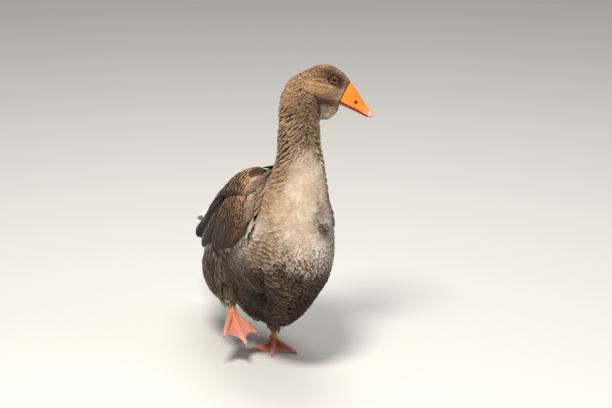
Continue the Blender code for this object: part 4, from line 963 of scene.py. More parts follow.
def plumage(name, barbs, barbDepth, shaft, dull, blotch=0.10, edgeNoise=0.10, sideEdge=1.0, vary=0.16,
            contrast=0.20):
    finish = Finish(name)
    ground = finish.add("Attribute", attribute_name="ground").outputs["Color"]
    edgeNode = finish.add("Attribute", attribute_name="edge")
    vane = finish.add("Attribute", attribute_name="vane").outputs["Vector"]
    split = finish.add("SeparateXYZ")
    finish.plug(vane, split.inputs[0])
    across, along, chance = split.outputs
    aside = finish.math("ABSOLUTE", across)
    slant = finish.math("SUBTRACT", finish.math("MULTIPLY", along, barbs),
                        finish.math("MULTIPLY", aside, barbs * 0.22))
    strand = finish.add("CombineXYZ")
    finish.plug(slant, strand.inputs[0])
    finish.feed(strand, 1, finish.math("MULTIPLY", chance, 57.0))
    finish.feed(strand, 2, finish.math("MULTIPLY", across, 0.6))
    barb = finish.noise(strand.outputs[0], 1.0, 2.0, 0.7)
    width = edgeNode.outputs["Alpha"]
    wavy = finish.math("MULTIPLY", finish.math("SUBTRACT", barb, 0.5), edgeNoise)
    tipStart = finish.math("SUBTRACT", 1.0, width)
    soft = finish.math("MULTIPLY", width, 0.42)
    tip = finish.ramp(finish.math("ADD", along, wavy), finish.math("SUBTRACT", tipStart, soft),
                      finish.math("ADD", tipStart, soft))
    sideStart = finish.math("SUBTRACT", 1.0, finish.math("MULTIPLY", width, 1.1))
    side = finish.ramp(finish.math("ADD", aside, wavy), sideStart, finish.math("ADD", sideStart, 0.10))
    side = finish.math("MULTIPLY", side, finish.ramp(along, 0.30, 0.62, 0.0, sideEdge))
    rim = finish.math("MAXIMUM", tip, side)
    colour = finish.mix(rim, ground, edgeNode.outputs["Color"])
    streak = finish.ramp(barb, 0.25, 0.75, 1 - contrast, 1 + 0.8 * contrast, smooth=False)
    each = finish.ramp(chance, 0.0, 1.0, 1 - vary, 1 + 0.75 * vary, smooth=False)
    cloud = finish.ramp(finish.noise(finish.place(), 28.0, 3.0), 0.3, 0.7, 1 - blotch, 1 + blotch, smooth=False)
    shade = finish.math("MULTIPLY", finish.math("MULTIPLY", streak, each), cloud)
    tone = finish.add("CombineXYZ")
    for index in range(3):
        finish.plug(shade, tone.inputs[index])
    colour = finish.mix(1.0, colour, tone.outputs[0], "MULTIPLY")
    quill = finish.ramp(aside, 0.02, 0.10, shaft, 0.0)
    colour = finish.mix(quill, colour, finish.mix(0.5, ground, paint(30, 22, 17)))
    finish.tune({"Sheen Weight": 0.03, "Sheen Roughness": 0.6, "Specular IOR Level": 0.12})
    return finish.dress(colour, barb, dull - 0.08, dull + 0.06, barbDepth, smooth=False)


bodyPlumage = plumage("bodyPlumage", 46.0, 0.0006, 0.12, 0.86, blotch=0.14, edgeNoise=0.16, sideEdge=0.30)
lockPlumage = plumage("lockPlumage", 18.0, 0.0007, 0.04, 0.88, blotch=0.12, edgeNoise=0.10, sideEdge=0.0)
softPlumage = plumage("softPlumage", 26.0, 0.0008, 0.10, 0.90, blotch=0.16, edgeNoise=0.35)
headPlumage = plumage("headPlumage", 20.0, 0.0005, 0.05, 0.90, blotch=0.16, edgeNoise=0.20, vary=0.40,
                      contrast=0.42)
wingPlumage = plumage("wingPlumage", 80.0, 0.0005, 0.30, 0.76, edgeNoise=0.05, sideEdge=0.16)

skinFinish = Finish("downUnderTheCoat")
downColour = skinFinish.add("Attribute", attribute_name="ground").outputs["Color"]
downGrain = skinFinish.noise(skinFinish.place(), 420.0, 5.0, 0.65)
downShade = skinFinish.mix(skinFinish.ramp(downGrain, 0.3, 0.7), paint(120, 116, 112), paint(215, 212, 208))
downTone = skinFinish.mix(1.0, downColour, downShade, "MULTIPLY")
skin.data.materials.append(skinFinish.dress(downTone, downGrain, 0.85, 0.97, 0.0012))

# The coat, piece by piece

coatPieces = {
    "coat_head": {"shape": "tiny", "finish": headPlumage},
    "coat_neck": {"shape": "tiny", "finish": bodyPlumage},
    "coat_strands": {"shape": "lock", "finish": lockPlumage},
    "coat_breast": {"shape": "body", "finish": bodyPlumage},
    "coat_flank_right": {"shape": "body", "finish": bodyPlumage},
    "coat_flank_left": {"shape": "body", "finish": bodyPlumage},
    "coat_back": {"shape": "body", "finish": bodyPlumage},
    "coat_paunch": {"shape": "fluffy", "finish": softPlumage},
    "coat_vent": {"shape": "fluffy", "finish": softPlumage},
}
rootPlaces = np.array([list(place) for place in roots.places])
rootMarks = marksAt(rootPlaces)
rootDepths = coatDepth(rootPlaces)


def pieceFor(place, mark, crest):
    if crest > 1:
        return "coat_strands"
    reach = (Vector(place) - headOrigin).length
    if reach < 0.066 or (place[2] > 0.560 and reach < 0.085):
        return "coat_head"
    if place[2] > 0.452:
        return "coat_neck"
    if mark[10] > 0.62:
        return "coat_paunch" if place[1] < 0.05 else "coat_vent"
    if place[1] < -0.215 and place[2] > 0.19:
        return "coat_breast"
    if place[2] > 0.36 or (place[2] > 0.25 and abs(place[0] - bodyShift[0]) < 0.035):
        return "coat_back"
    return "coat_flank_right" if place[0] < bodyShift[0] else "coat_flank_left"


def nearEye(points):
    for eyeMiddle in eyeMiddles:
        for point in (points[0], points[-1]):
            offset = point - eyeMiddle
            flat = offset - headSide * offset.dot(headSide)
            above = coatSettings["browOver"] if flat.dot(headUp) > 0.5 * flat.length else 0.0
            if offset.length < coatSettings["eyeReach"] and flat.length < coatSettings["eyeClear"] - above:
                return True
    return False


coat = {name: Flock() for name in coatPieces}
skipped = 0
for index, place in enumerate(roots.places):
    mark, crest = rootMarks[index].copy(), roots.crests[index]
    name = pieceFor(rootPlaces[index], mark, crest)
    stations = featherShapes[coatPieces[name]["shape"]]["stations"]
    way = roots.ways[index]
    face = shell.find_nearest(place)[2]
    normal = shellNormal[face]
    way = (way - normal * way.dot(normal)).normalized()
    loose = (0.6 + mark[10]) * (1 + strandTufts["looser"] * max(0.0, crest - 2))
    sway = chances.gauss(0.0, math.radians(coatSettings["sway"] * loose))
    way = Matrix.Rotation(sway, 3, normal) @ way
    length = mark[7] * chances.uniform(0.86, 1.14)
    width = mark[8] * chances.uniform(0.90, 1.10)
    if name == "coat_strands":
        low = limited((0.47 - place[2]) / 0.05)
        length = strandTufts["length"] * (1 + 0.25 * low) * chances.uniform(0.86, 1.14)
        width = strandTufts["width"] * (1 + 0.20 * low) * chances.uniform(0.85, 1.12)
    points, normals = layPath(place, way, length, stations)
    tipAhead = (points[-1] - headOrigin).dot(headForward)
    if name == "coat_head" and (nearEye(points) or tipAhead > coatSettings["billClear"]):
        continue
    if hidden(points[0], normals[0]) and hidden(points[-2], normals[-2]):
        skipped += 1
        continue
    # painted shade under the body: roots low on the belly take darker colours
    paintedBellyShade = limited((place[2] - coatSettings["paintedBellyShadeLow"]) / coatSettings["paintedBellyShadeSpan"])
    if place[1] < coatSettings["paintedBellyShadeTo"]:
        mark[0:6] *= coatSettings["paintedBellyShade"] + (1 - coatSettings["paintedBellyShade"]) * paintedBellyShade
    depth = rootDepths[index]
    tipLift = mark[9] * (0.45 + 1.25 * crest) * chances.uniform(0.7, 1.3)
    if name == "coat_strands":
        mark[0:6] *= strandTufts["tint"] * 2
        tipLift = chances.uniform(*strandTufts["lift"])
        depth = strandTufts["depth"]
        mark[0:3] = mark[3:6] * chances.uniform(*strandTufts["ground"])
        mark[3:6] = mark[3:6] * chances.uniform(*strandTufts["pale"])
        mark[6] = strandTufts["edge"]
    if name == "coat_head":
        # bolder scales towards the nape
        back = limited((0.030 - (place - headOrigin).dot(headForward)) / 0.020)
        mark[0:6] *= coatSettings["headTint"] * 2
        mark[0:3] *= 1 - 0.24 * back
        mark[3:6] *= 1 + 0.16 * back
        mark[6] += 0.06 * back
        tipLift += 0.0007 * back
        mark[0:3] *= 0.66 + 0.82 * crest
        mark[3:6] *= 0.66 + 0.82 * crest
        depth = depth + coatSettings["sunken"] * (1 - crest)
    # painted shade: neck feathers that lie low in the furrows between the strands are darkened
    if name == "coat_neck":
        mark[0:3] = mark[0:3] * (0.34 + 1.65 * crest)
        mark[3:6] = mark[3:6] * (0.30 + 1.75 * crest)
        depth = depth + coatSettings["sunken"] * (1 - crest)
    # a feather that meets the wing's edge rises over it, wider and in threes
    beyond = points[-1] + (points[-1] - points[-2]).normalized() * (coatSettings["lapAhead"] * length)
    laps = place[1] < coatSettings["lapTo"]
    overs = [overWing(point, turned) if laps else 0.0
             for point, turned in zip((*points, beyond), (*normals, normals[-1]))]
    shares = (*stations, 1 + coatSettings["lapAhead"])
    eased = [max(over * (1 - coatSettings["lapEase"] * abs(share - other)) for over, other in zip(overs, shares))
             for share in shares]
    lapped = max(eased) > coatSettings["lapFrom"]
    if lapped:
        width *= coatSettings["lapWiden"]
    spine = []
    for share, point, turned, over in zip(stations, points, normals, eased):
        lift = -coatSettings["rootDeep"] * depth * (1 - share) ** 1.2 + tipLift * share ** (
            0.7 if name == "coat_strands" else 1.4)
        spine.append(point + turned * max(lift, over))
    low, high = coatSettings["lapTwist"]
    for twist in (0.0, chances.uniform(low, high), chances.uniform(-high, -low)) if lapped else (0.0,):
        spread = Matrix.Rotation(twist, 3, normals[0])
        aside = normals[0] * (coatSettings["lapApart"] * abs(twist))
        turnedSpine = [list(spine[0] + spread @ (point - spine[0]) + aside) for point in spine]
        coat[name].add(turnedSpine, [list(turned) for turned in normals], width * (1 - abs(twist)), mark, face)
print("under the wings and left out:", skipped)
for number, (name, flock) in enumerate(coat.items()):
    flock.build(name, coatPieces[name]["shape"], coatPieces[name]["finish"], 100 + number, "plumage")

# Fringes: long soft tufts hanging round each shank where it leaves the coat

fringeSettings = {
    "rings": 4, "each": 15, "radius": 0.0125, "outer": 0.0030, "length": 0.030, "width": 0.0095, "deep": 0.018,
    "ringDrop": 0.004, "narrowing": 0.30, "sway": 0.1, "ragged": 0.9, "inCoat": 0.006, "seed": 130,
}
legJoints = {"left": (0.0219, -0.0180, 0.0095), "right": (-0.0901, -0.0620, 0.1025)}
for sideName, lower, seed in (("right", 0.0150, 24), ("left", 0.0240, 23)):
    rng = np.random.default_rng(seed)
    shankPlaces = meshNumbers(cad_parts["shank_" + sideName].data.vertices, "co", 3)
    upper = shankPlaces[shankPlaces[:, 2] > np.quantile(shankPlaces[:, 2], 0.8)].mean(axis=0)
    toJoint = np.array(legJoints[sideName]) - upper
    axis = unit(toJoint[None])[0]
    inside = [reach for reach in np.linspace(0, np.linalg.norm(toJoint), 120)
              if shell.find_nearest(Vector(upper + axis * reach))[3] < fringeSettings["inCoat"]]
    leaves = max(inside) if inside else 0.0
    across = unit(np.cross(axis, (0, 0, 1.0))[None])[0]
    other = np.cross(axis, across)
    flock = Flock()
    for ring in range(fringeSettings["rings"]):
        for i in range(fringeSettings["each"]):
            turnHere = 2 * math.pi * (i + 0.5 * (ring % 2) + rng.uniform(-0.2, 0.2)) / fringeSettings["each"]
            out = across * math.cos(turnHere) + other * math.sin(turnHere)
            radius = fringeSettings["radius"] + fringeSettings["outer"] * ring
            start = leaves - fringeSettings["deep"] - fringeSettings["ringDrop"] * ring + lower * 0.2
            long = fringeSettings["length"] * rng.uniform(0.72, 1.22) + lower * 0.5
            most = fringeSettings["sway"]
            sway = across * rng.uniform(-most, most) + other * rng.uniform(-most, most)
            spine = [upper + axis * (start + long * f) + out * (radius * (1 - fringeSettings["narrowing"] * f * f))
                     + sway * long * f for f in featherShapes["fluffy"]["stations"]]
            width = fringeSettings["width"] * rng.uniform(0.8, 1.2)
            face = shell.find_nearest(Vector(spine[0]))[2]
            mark = marksAt(np.array([faceMiddles[face]]))[0]
            mark[0:6] *= rng.uniform(0.62, 0.95)
            flock.add(spine, [out] * len(spine), width, mark, face)
    flock.build("coat_fringe_" + sideName, "fluffy", softPlumage, fringeSettings["seed"], "plumage",
                ragged=fringeSettings["ragged"])

# Wings: the folded hull under tiers of feathers

wingTiers = (
    # tier, first root (share, degrees), last root, tips' degrees, count, length, width, lift at root and tip,
    # drop from one to the next, ground, edge, edge share
    ("primaries", (0.550, 58.0), (0.602, 81.0), (75.0, 88.5), 7, 0.206, 0.021, -0.0040, -0.0006, 0.0010,
     (36, 28, 24), (84, 68, 56), 0.03),
    ("secondaries", (0.395, 46.0), (0.505, 78.0), (57.0, 88.0), 11, 0.114, 0.030, -0.0036, 0.0010, 0.0,
     (66, 46, 33), (188, 158, 126), 0.09),
    ("tertials", (0.440, 12.0), (0.478, 42.0), (30.0, 63.0), 6, 0.134, 0.036, -0.0030, 0.0062, 0.0,
     (68, 48, 34), (180, 146, 108), 0.08),
    ("greaterCoverts", (0.270, 38.0), (0.380, 78.0), (41.0, 82.0), 10, 0.072, 0.031, -0.0030, 0.0030, 0.0,
     (70, 48, 33), (192, 150, 104), 0.11),
    ("medianCoverts", (0.205, 34.0), (0.300, 78.0), (37.0, 81.0), 11, 0.056, 0.026, -0.0028, 0.0036, 0.0,
     (76, 52, 35), (204, 156, 106), 0.13),
    ("lesserCoverts", (0.150, 34.0), (0.235, 78.0), (36.0, 80.0), 12, 0.046, 0.022, -0.0026, 0.0038, 0.0,
     (82, 55, 36), (212, 160, 106), 0.14),
    ("smallCoverts", (0.100, 36.0), (0.178, 77.0), (37.0, 79.0), 12, 0.042, 0.020, -0.0024, 0.0038, 0.0,
     (92, 62, 40), (216, 164, 112), 0.14),
    ("shoulderCoverts", (0.060, 44.0), (0.120, 76.0), (45.0, 78.0), 10, 0.038, 0.018, -0.0022, 0.0038, 0.0,
     (108, 76, 52), (214, 168, 122), 0.14),
    ("wristCoverts", (0.044, 50.0), (0.074, 70.0), (50.0, 71.0), 7, 0.030, 0.015, -0.0020, 0.0030, 0.0,
     (132, 104, 82), (204, 174, 144), 0.12),
    ("wristTufts", (0.018, 50.0), (0.036, 71.0), (50.0, 72.0), 9, 0.021, 0.011, -0.0018, 0.0030, 0.0,
     (196, 160, 130), (214, 186, 158), 0.16),
    ("wristDown", (0.005, 51.0), (0.020, 70.0), (51.0, 71.0), 10, 0.014, 0.009, -0.0014, 0.0026, 0.0,
     (210, 176, 146), (222, 198, 174), 0.18),
    ("hindScapulars", (0.310, 10.0), (0.335, 34.0), (13.0, 39.0), 6, 0.100, 0.036, -0.0030, 0.0086, 0.0,
     (76, 53, 37), (196, 152, 106), 0.09),
    ("middleScapulars", (0.235, 12.0), (0.262, 36.0), (14.0, 40.0), 7, 0.082, 0.030, -0.0028, 0.0080, 0.0,
     (84, 58, 39), (206, 158, 108), 0.11),
    ("foreScapulars", (0.165, 16.0), (0.195, 36.0), (17.0, 39.0), 7, 0.066, 0.026, -0.0028, 0.0072, 0.0,
     (96, 66, 44), (212, 164, 114), 0.12),
    ("neckScapulars", (0.110, 24.0), (0.132, 38.0), (25.0, 40.0), 6, 0.050, 0.022, -0.0026, 0.0060, 0.0,
     (116, 84, 60), (208, 168, 128), 0.13),
    ("shoulderTufts", (0.066, 28.0), (0.082, 42.0), (29.0, 43.0), 8, 0.033, 0.015, -0.0024, 0.0052, 0.0,
     (170, 132, 102), (212, 178, 146), 0.14),
    ("shoulderDown", (0.046, 27.0), (0.060, 41.0), (28.0, 42.0), 9, 0.021, 0.011, -0.0020, 0.0046, 0.0,
     (196, 160, 130), (216, 188, 160), 0.16),
)
wingStations = (
    (0.045, 50.0, 62.0), (0.075, 40.0, 74.0), (0.130, 26.0, 80.0), (0.220, 12.0, 80.0), (0.320, 6.0, 78.0),
    (0.420, 5.0, 78.0), (0.520, 10.0, 80.0), (0.600, 24.0, 84.0), (0.650, 42.0, 84.0),
)
wingSettings = {
    "across": 12, "rows": 25, "sink": 0.0030, "edgeSink": 0.002, "thickness": 0.0060,
    "tone": (50, 35, 25), "foreTone": (150, 120, 92),
    "fine": 0.80, "dark": 0.44, "ragged": 0.15,  # the coverts' edges, the ground colours, the vanes' ends
}


def wingHull(shares, degrees, side):
    points = hullPoints(wingSections, np.asarray(shares, float), np.radians(np.asarray(degrees, float))) - bodyShift
    points[:, 0] *= side
    return points + bodyShift


def wingNormals(shares, degrees, side):
    shares, degrees = np.asarray(shares, float), np.asarray(degrees, float)
    along = wingHull(shares + 0.004, degrees, side) - wingHull(shares - 0.004, degrees, side)
    around = wingHull(shares, degrees + 2.0, side) - wingHull(shares, degrees - 2.0, side)
    return unit(np.cross(around, along)) * side


def wingLeaf(name, side):
    # the wing's own skin: a grid laid on the hull, given its thickness
    rows = rowsAt(wingStations, np.linspace(0, 1, wingSettings["rows"]))
    leaf = freshPiece(bpy.ops.mesh.primitive_grid_add, name, x_subdivisions=wingSettings["across"],
                      y_subdivisions=len(rows) - 1, size=1.0)
    places = meshNumbers(leaf.data.vertices, "co", 3) + 0.5
    f, level = places[:, 0], np.clip(places[:, 1], 0, 1) * (len(rows) - 1)
    near = np.clip(np.round(level).astype(int), 0, len(rows) - 1)
    shares = rows[near, 0]
    degrees = rows[near, 1] + (rows[near, 2] - rows[near, 1]) * f
    edge = np.abs(f * 2 - 1) ** 4
    outward = wingNormals(shares, degrees, side)
    sunk = wingSettings["sink"] + wingSettings["edgeSink"] * edge
    hull = wingHull(shares, degrees, side) - outward * sunk[:, None]
    leaf.data.vertices.foreach_set("co", hull.ravel())
    leaf.data.update()
    inEditMode(leaf, (bpy.ops.mesh.normals_make_consistent, {"inside": False}))
    if (meshNumbers(leaf.data.vertices, "normal", 3) * outward).sum() < 0:
        leaf.data.flip_normals()
    addAndApply(leaf, "SOLIDIFY", thickness=wingSettings["thickness"], offset=-1.0)
    addAndApply(leaf, "SUBSURF", levels=1, render_levels=1)
    bpy.ops.object.shade_smooth()
    return leaf


def wingFeather(side, root, tipDegrees, length, lifts, stations):
    start = wingHull([root[0]], [root[1]], side)[0]
    tries = np.linspace(root[0], 1.0, 160)
    reached = np.linalg.norm(wingHull(tries, np.full(160, tipDegrees), side) - start, axis=1)
    tipShare = float(np.interp(length, reached, tries))
    f = np.array(stations)
    shares = root[0] + (tipShare - root[0]) * f
    degrees = root[1] + (tipDegrees - root[1]) * f
    normals = wingNormals(shares, degrees, side)
    lift = lifts[0] + (lifts[1] - lifts[0]) * f ** 0.7
    return wingHull(shares, degrees, side) + normals * lift[:, None], normals


leafFinish = Finish("wingUnderTheFeathers")
leafGrain = leafFinish.noise(leafFinish.place(), 300.0, 4.0)
leafTone = leafFinish.mix(leafGrain, paint(*wingSettings["tone"]), paint(30, 23, 19))
leafFront = leafFinish.ramp(leafFinish.along(leafFinish.place(), (0.0, -0.10, 0.0), (0.0, -1.0, 0.0)), 0.0, 0.035)
leafFore = leafFinish.mix(leafGrain, paint(*wingSettings["foreTone"]), paint(78, 58, 43))
leafFinish.dress(leafFinish.mix(leafFront, leafTone, leafFore), leafGrain, 0.82, 0.95, 0.0008)

# a tier halfway between every two neighbouring ones, of the coverts and of the shoulder's feathers
allTiers = list(wingTiers[:3])
for tiers in (wingTiers[3:11], wingTiers[11:]):
    for lower, upper in zip(tiers, tiers[1:] + (None,)):
        allTiers.append(lower)
        if upper is not None:
            between = [tuple((a + b) / 2 for a, b in zip(one, other)) if isinstance(one, tuple) else
                       (one if isinstance(one, str) else (one + other) / 2) for one, other in zip(lower, upper)]
            between[4] = int(between[4])
            allTiers.append(tuple(between))
for side, sideName in ((-1, "right"), (1, "left")):
    rng = np.random.default_rng(7 + side)
    leaf = wingLeaf("wing_leaf_" + sideName, side)
    leaf.data.materials.append(leafFinish.material)
    settle(leaf, "wing", "wing_" + sideName)
    quills, coverts = Flock(), Flock()
    for tier, first, last, tips, count, length, width, rootLift, tipLift, drop, ground, edge, share in allTiers:
        long = tier in ("primaries", "secondaries", "tertials")
        stations = featherShapes["quill" if long else "covert"]["stations"]
        for i in range(count):
            f = i / (count - 1)
            root = (first[0] + (last[0] - first[0]) * f + rng.uniform(-0.003, 0.003),
                    first[1] + (last[1] - first[1]) * f)
            tip = tips[0] + (tips[1] - tips[0]) * f + rng.uniform(-1.0, 1.0)
            reach = length * rng.uniform(0.94, 1.06)
            vary = 0.16 if long else 0.03
            lifts = (rootLift - drop * i, tipLift * rng.uniform(1 - vary, 1 + vary) - drop * i)
            spine, normal = wingFeather(side, root, tip, reach, lifts, stations)
            lean = math.radians(7.0 if long else 2.5) * side * (-1 if tier != "primaries" else -0.3)
            tangent = unit(np.gradient(spine, axis=0))
            across = unit(np.cross(tangent, normal))
            # the coverts' pale edges grow finer from one feather to the next
            share = share if long else share * wingSettings["fine"]
            shade = np.array(paint(*ground)[:3]) * wingSettings["dark"]
            (quills if long else coverts).add(
                spine, unit(normal * math.cos(lean) + across * math.sin(lean)), width * rng.uniform(0.96, 1.05),
                (*shade, *paint(*edge)[:3], share, 0, 0, 0, wingSettings["ragged"]))
    quills.build("wing_quills_" + sideName, "quill", wingPlumage, 60 + side, "wing", "wing_" + sideName)
    coverts.build("wing_coverts_" + sideName, "covert", wingPlumage, 60 + side, "wing", "wing_" + sideName)

# Tail: a short root under its coverts, and the fan

tailSettings = {
    "root": (0.0, 0.174, 0.203), "rootSize": (0.030, 0.030, 0.0095), "rootOut": 0.016, "halfWidth": 0.026,
    "arch": 1.6, "rise": math.radians(1.0), "swing": math.radians(7.0), "ragged": 0.3, "seed": 5,
}
tailTiers = (
    # fan each side, root's distance out, count, length, width, height of the root, rise of the tips, drop to
    # the sides, ground, edge, edge share
    (11.0, 0.020, 14, 0.088, 0.024, 0.0010, 0.0, 0.0100, (124, 110, 100), (238, 236, 233), 0.20),
    (9.5, 0.010, 11, 0.062, 0.020, 0.0058, 0.0036, 0.0050, (206, 200, 194), (240, 238, 236), 0.16),
    (8.0, -0.008, 10, 0.050, 0.020, 0.0080, 0.0050, 0.0050, (222, 217, 212), (242, 240, 238), 0.14),
    (9.5, 0.010, 12, 0.070, 0.022, -0.0066, -0.0120, -0.0030, (226, 222, 217), (242, 241, 239), 0.12),
    (8.0, -0.010, 11, 0.056, 0.022, -0.0096, -0.0120, -0.0020, (228, 224, 219), (243, 241, 239), 0.12),
)


def tailPoint(reach, across, height):
    raised = height - tailSettings["arch"] * across * across
    rise, swing = tailSettings["rise"], tailSettings["swing"]
    out = reach * math.cos(rise) - raised * math.sin(rise)
    up = reach * math.sin(rise) + raised * math.cos(rise)
    return np.array(tailSettings["root"]) + bodyShift + np.array((
        across * math.cos(swing) + out * math.sin(swing), out * math.cos(swing) - across * math.sin(swing), up))


tailRoot = freshPiece(bpy.ops.mesh.primitive_uv_sphere_add, "tail_root", segments=24, ring_count=14, radius=1.0)
inEditMode(tailRoot, (bpy.ops.transform.resize, {"value": tailSettings["rootSize"]}))
for vertex in tailRoot.data.vertices:
    x, y, z = vertex.co
    reach = tailSettings["rootOut"] + y
    vertex.co = tailPoint(reach, x, z * (1.0 - 7.0 * max(0.0, reach - 0.02)))
bpy.ops.object.shade_smooth()
tailFinish = Finish("whiteDown")
tailGrain = tailFinish.noise(tailFinish.place(), 380.0, 4.0)
tailTone = tailFinish.mix(tailGrain, paint(190, 184, 178), paint(230, 227, 222))
tailRoot.data.materials.append(tailFinish.dress(tailTone, tailGrain, 0.85, 0.95, 0.001))
settle(tailRoot, "tail", "tail")
rng = np.random.default_rng(tailSettings["seed"])
tail = Flock()
for fan, rootOut, count, length, width, height, tipRise, drop, ground, edge, share in tailTiers:
    for i in range(count):
        f = 2 * i / (count - 1) - 1
        spread = math.radians(fan * f)
        long = length * rng.uniform(0.96, 1.04) * (1 - 0.12 * f * f)
        spine = [tailPoint(rootOut + long * along * math.cos(spread),
                           f * tailSettings["halfWidth"] * 0.74 + long * along * math.sin(spread),
                           height + tipRise * along - drop * abs(f)) for along in featherShapes["quill"]["stations"]]
        roll = math.radians(8.0) * f
        tail.add(spine, [(math.sin(-roll), 0.0, math.cos(roll))] * len(spine), width * rng.uniform(0.95, 1.05),
                 (*paint(*ground)[:3], *paint(*edge)[:3], share, 0, 0, 0, tailSettings["ragged"]))
tail.build("tail_feathers", "quill", wingPlumage, 90, "tail", "tail")

# Bill: both halves smoothed, orange, with a dark mouth line and a pale pinkish nail

billSettings = {
    "voxel": 0.0008, "smoothing": 5,
    "root": (247, 134, 24), "middle": (250, 122, 14), "nearTip": (246, 142, 74), "nail": (240, 186, 166),
    "lower": (196, 62, 36), "mouth": (52, 18, 12), "inside": (70, 26, 14),
    "nostril": (0.0800, 0.0131, 0.0030),
}
billFinish = Finish("bill")
billPlace = billFinish.place()
billAlong = billFinish.along(billPlace, headOrigin, headForward)
billHigh = billFinish.along(billPlace, headOrigin, headUp)
billTone = paint(*billSettings["root"])
for start, end, part in ((0.050, 0.078, "middle"), (0.090, 0.108, "nearTip"), (0.1075, 0.1105, "nail")):
    billTone = billFinish.mix(billFinish.ramp(billAlong, start, end), billTone, paint(*billSettings[part]))
mouthLine = billFinish.ramp(billAlong, 0.086, 0.1185, -0.0102, -0.0128, smooth=False)
belowMouth = billFinish.ramp(billFinish.math("SUBTRACT", mouthLine, billHigh), -0.0002, 0.0012)
billTone = billFinish.mix(belowMouth, billTone, paint(*billSettings["lower"]))
billStreak = billFinish.noise(billPlace, 160.0, 4.0, 0.6)
billTone = billFinish.mix(billFinish.ramp(billStreak, 0.45, 0.75, 0.0, 0.35), billTone, paint(255, 170, 90))
fromMouth = billFinish.math("ABSOLUTE", billFinish.math("SUBTRACT", mouthLine, billHigh))
billTone = billFinish.mix(billFinish.ramp(fromMouth, 0.0011, 0.0024, 1.0, 0.0), billTone,
                          paint(*billSettings["mouth"]))
for side in (-1, 1):
    nostrilAlong, nostrilAside, nostrilUp = billSettings["nostril"]
    fromNostril = billFinish.distance(billPlace, headPoint(nostrilAlong, side * nostrilAside, nostrilUp))
    billTone = billFinish.mix(billFinish.ramp(fromNostril, 0.0030, 0.0050, 1.0, 0.0), billTone,
                              paint(*billSettings["inside"]))
billFinish.tune({"Subsurface Weight": 0.12, "Subsurface Radius": (0.004, 0.0016, 0.0008)})
billFinish.dress(billTone, billStreak, 0.34, 0.50, 0.0003, height=billFinish.noise(billPlace, 420.0, 3.0))
for nodeName in ("bill_upper", "bill_lower"):
    half = copyOfNode(nodeName, nodeName + "_skin")
    melt(half, billSettings)
    bpy.ops.object.shade_smooth()
    half.data.materials.append(billFinish.material)
    settle(half, "bill", nodeName)
print("bill")
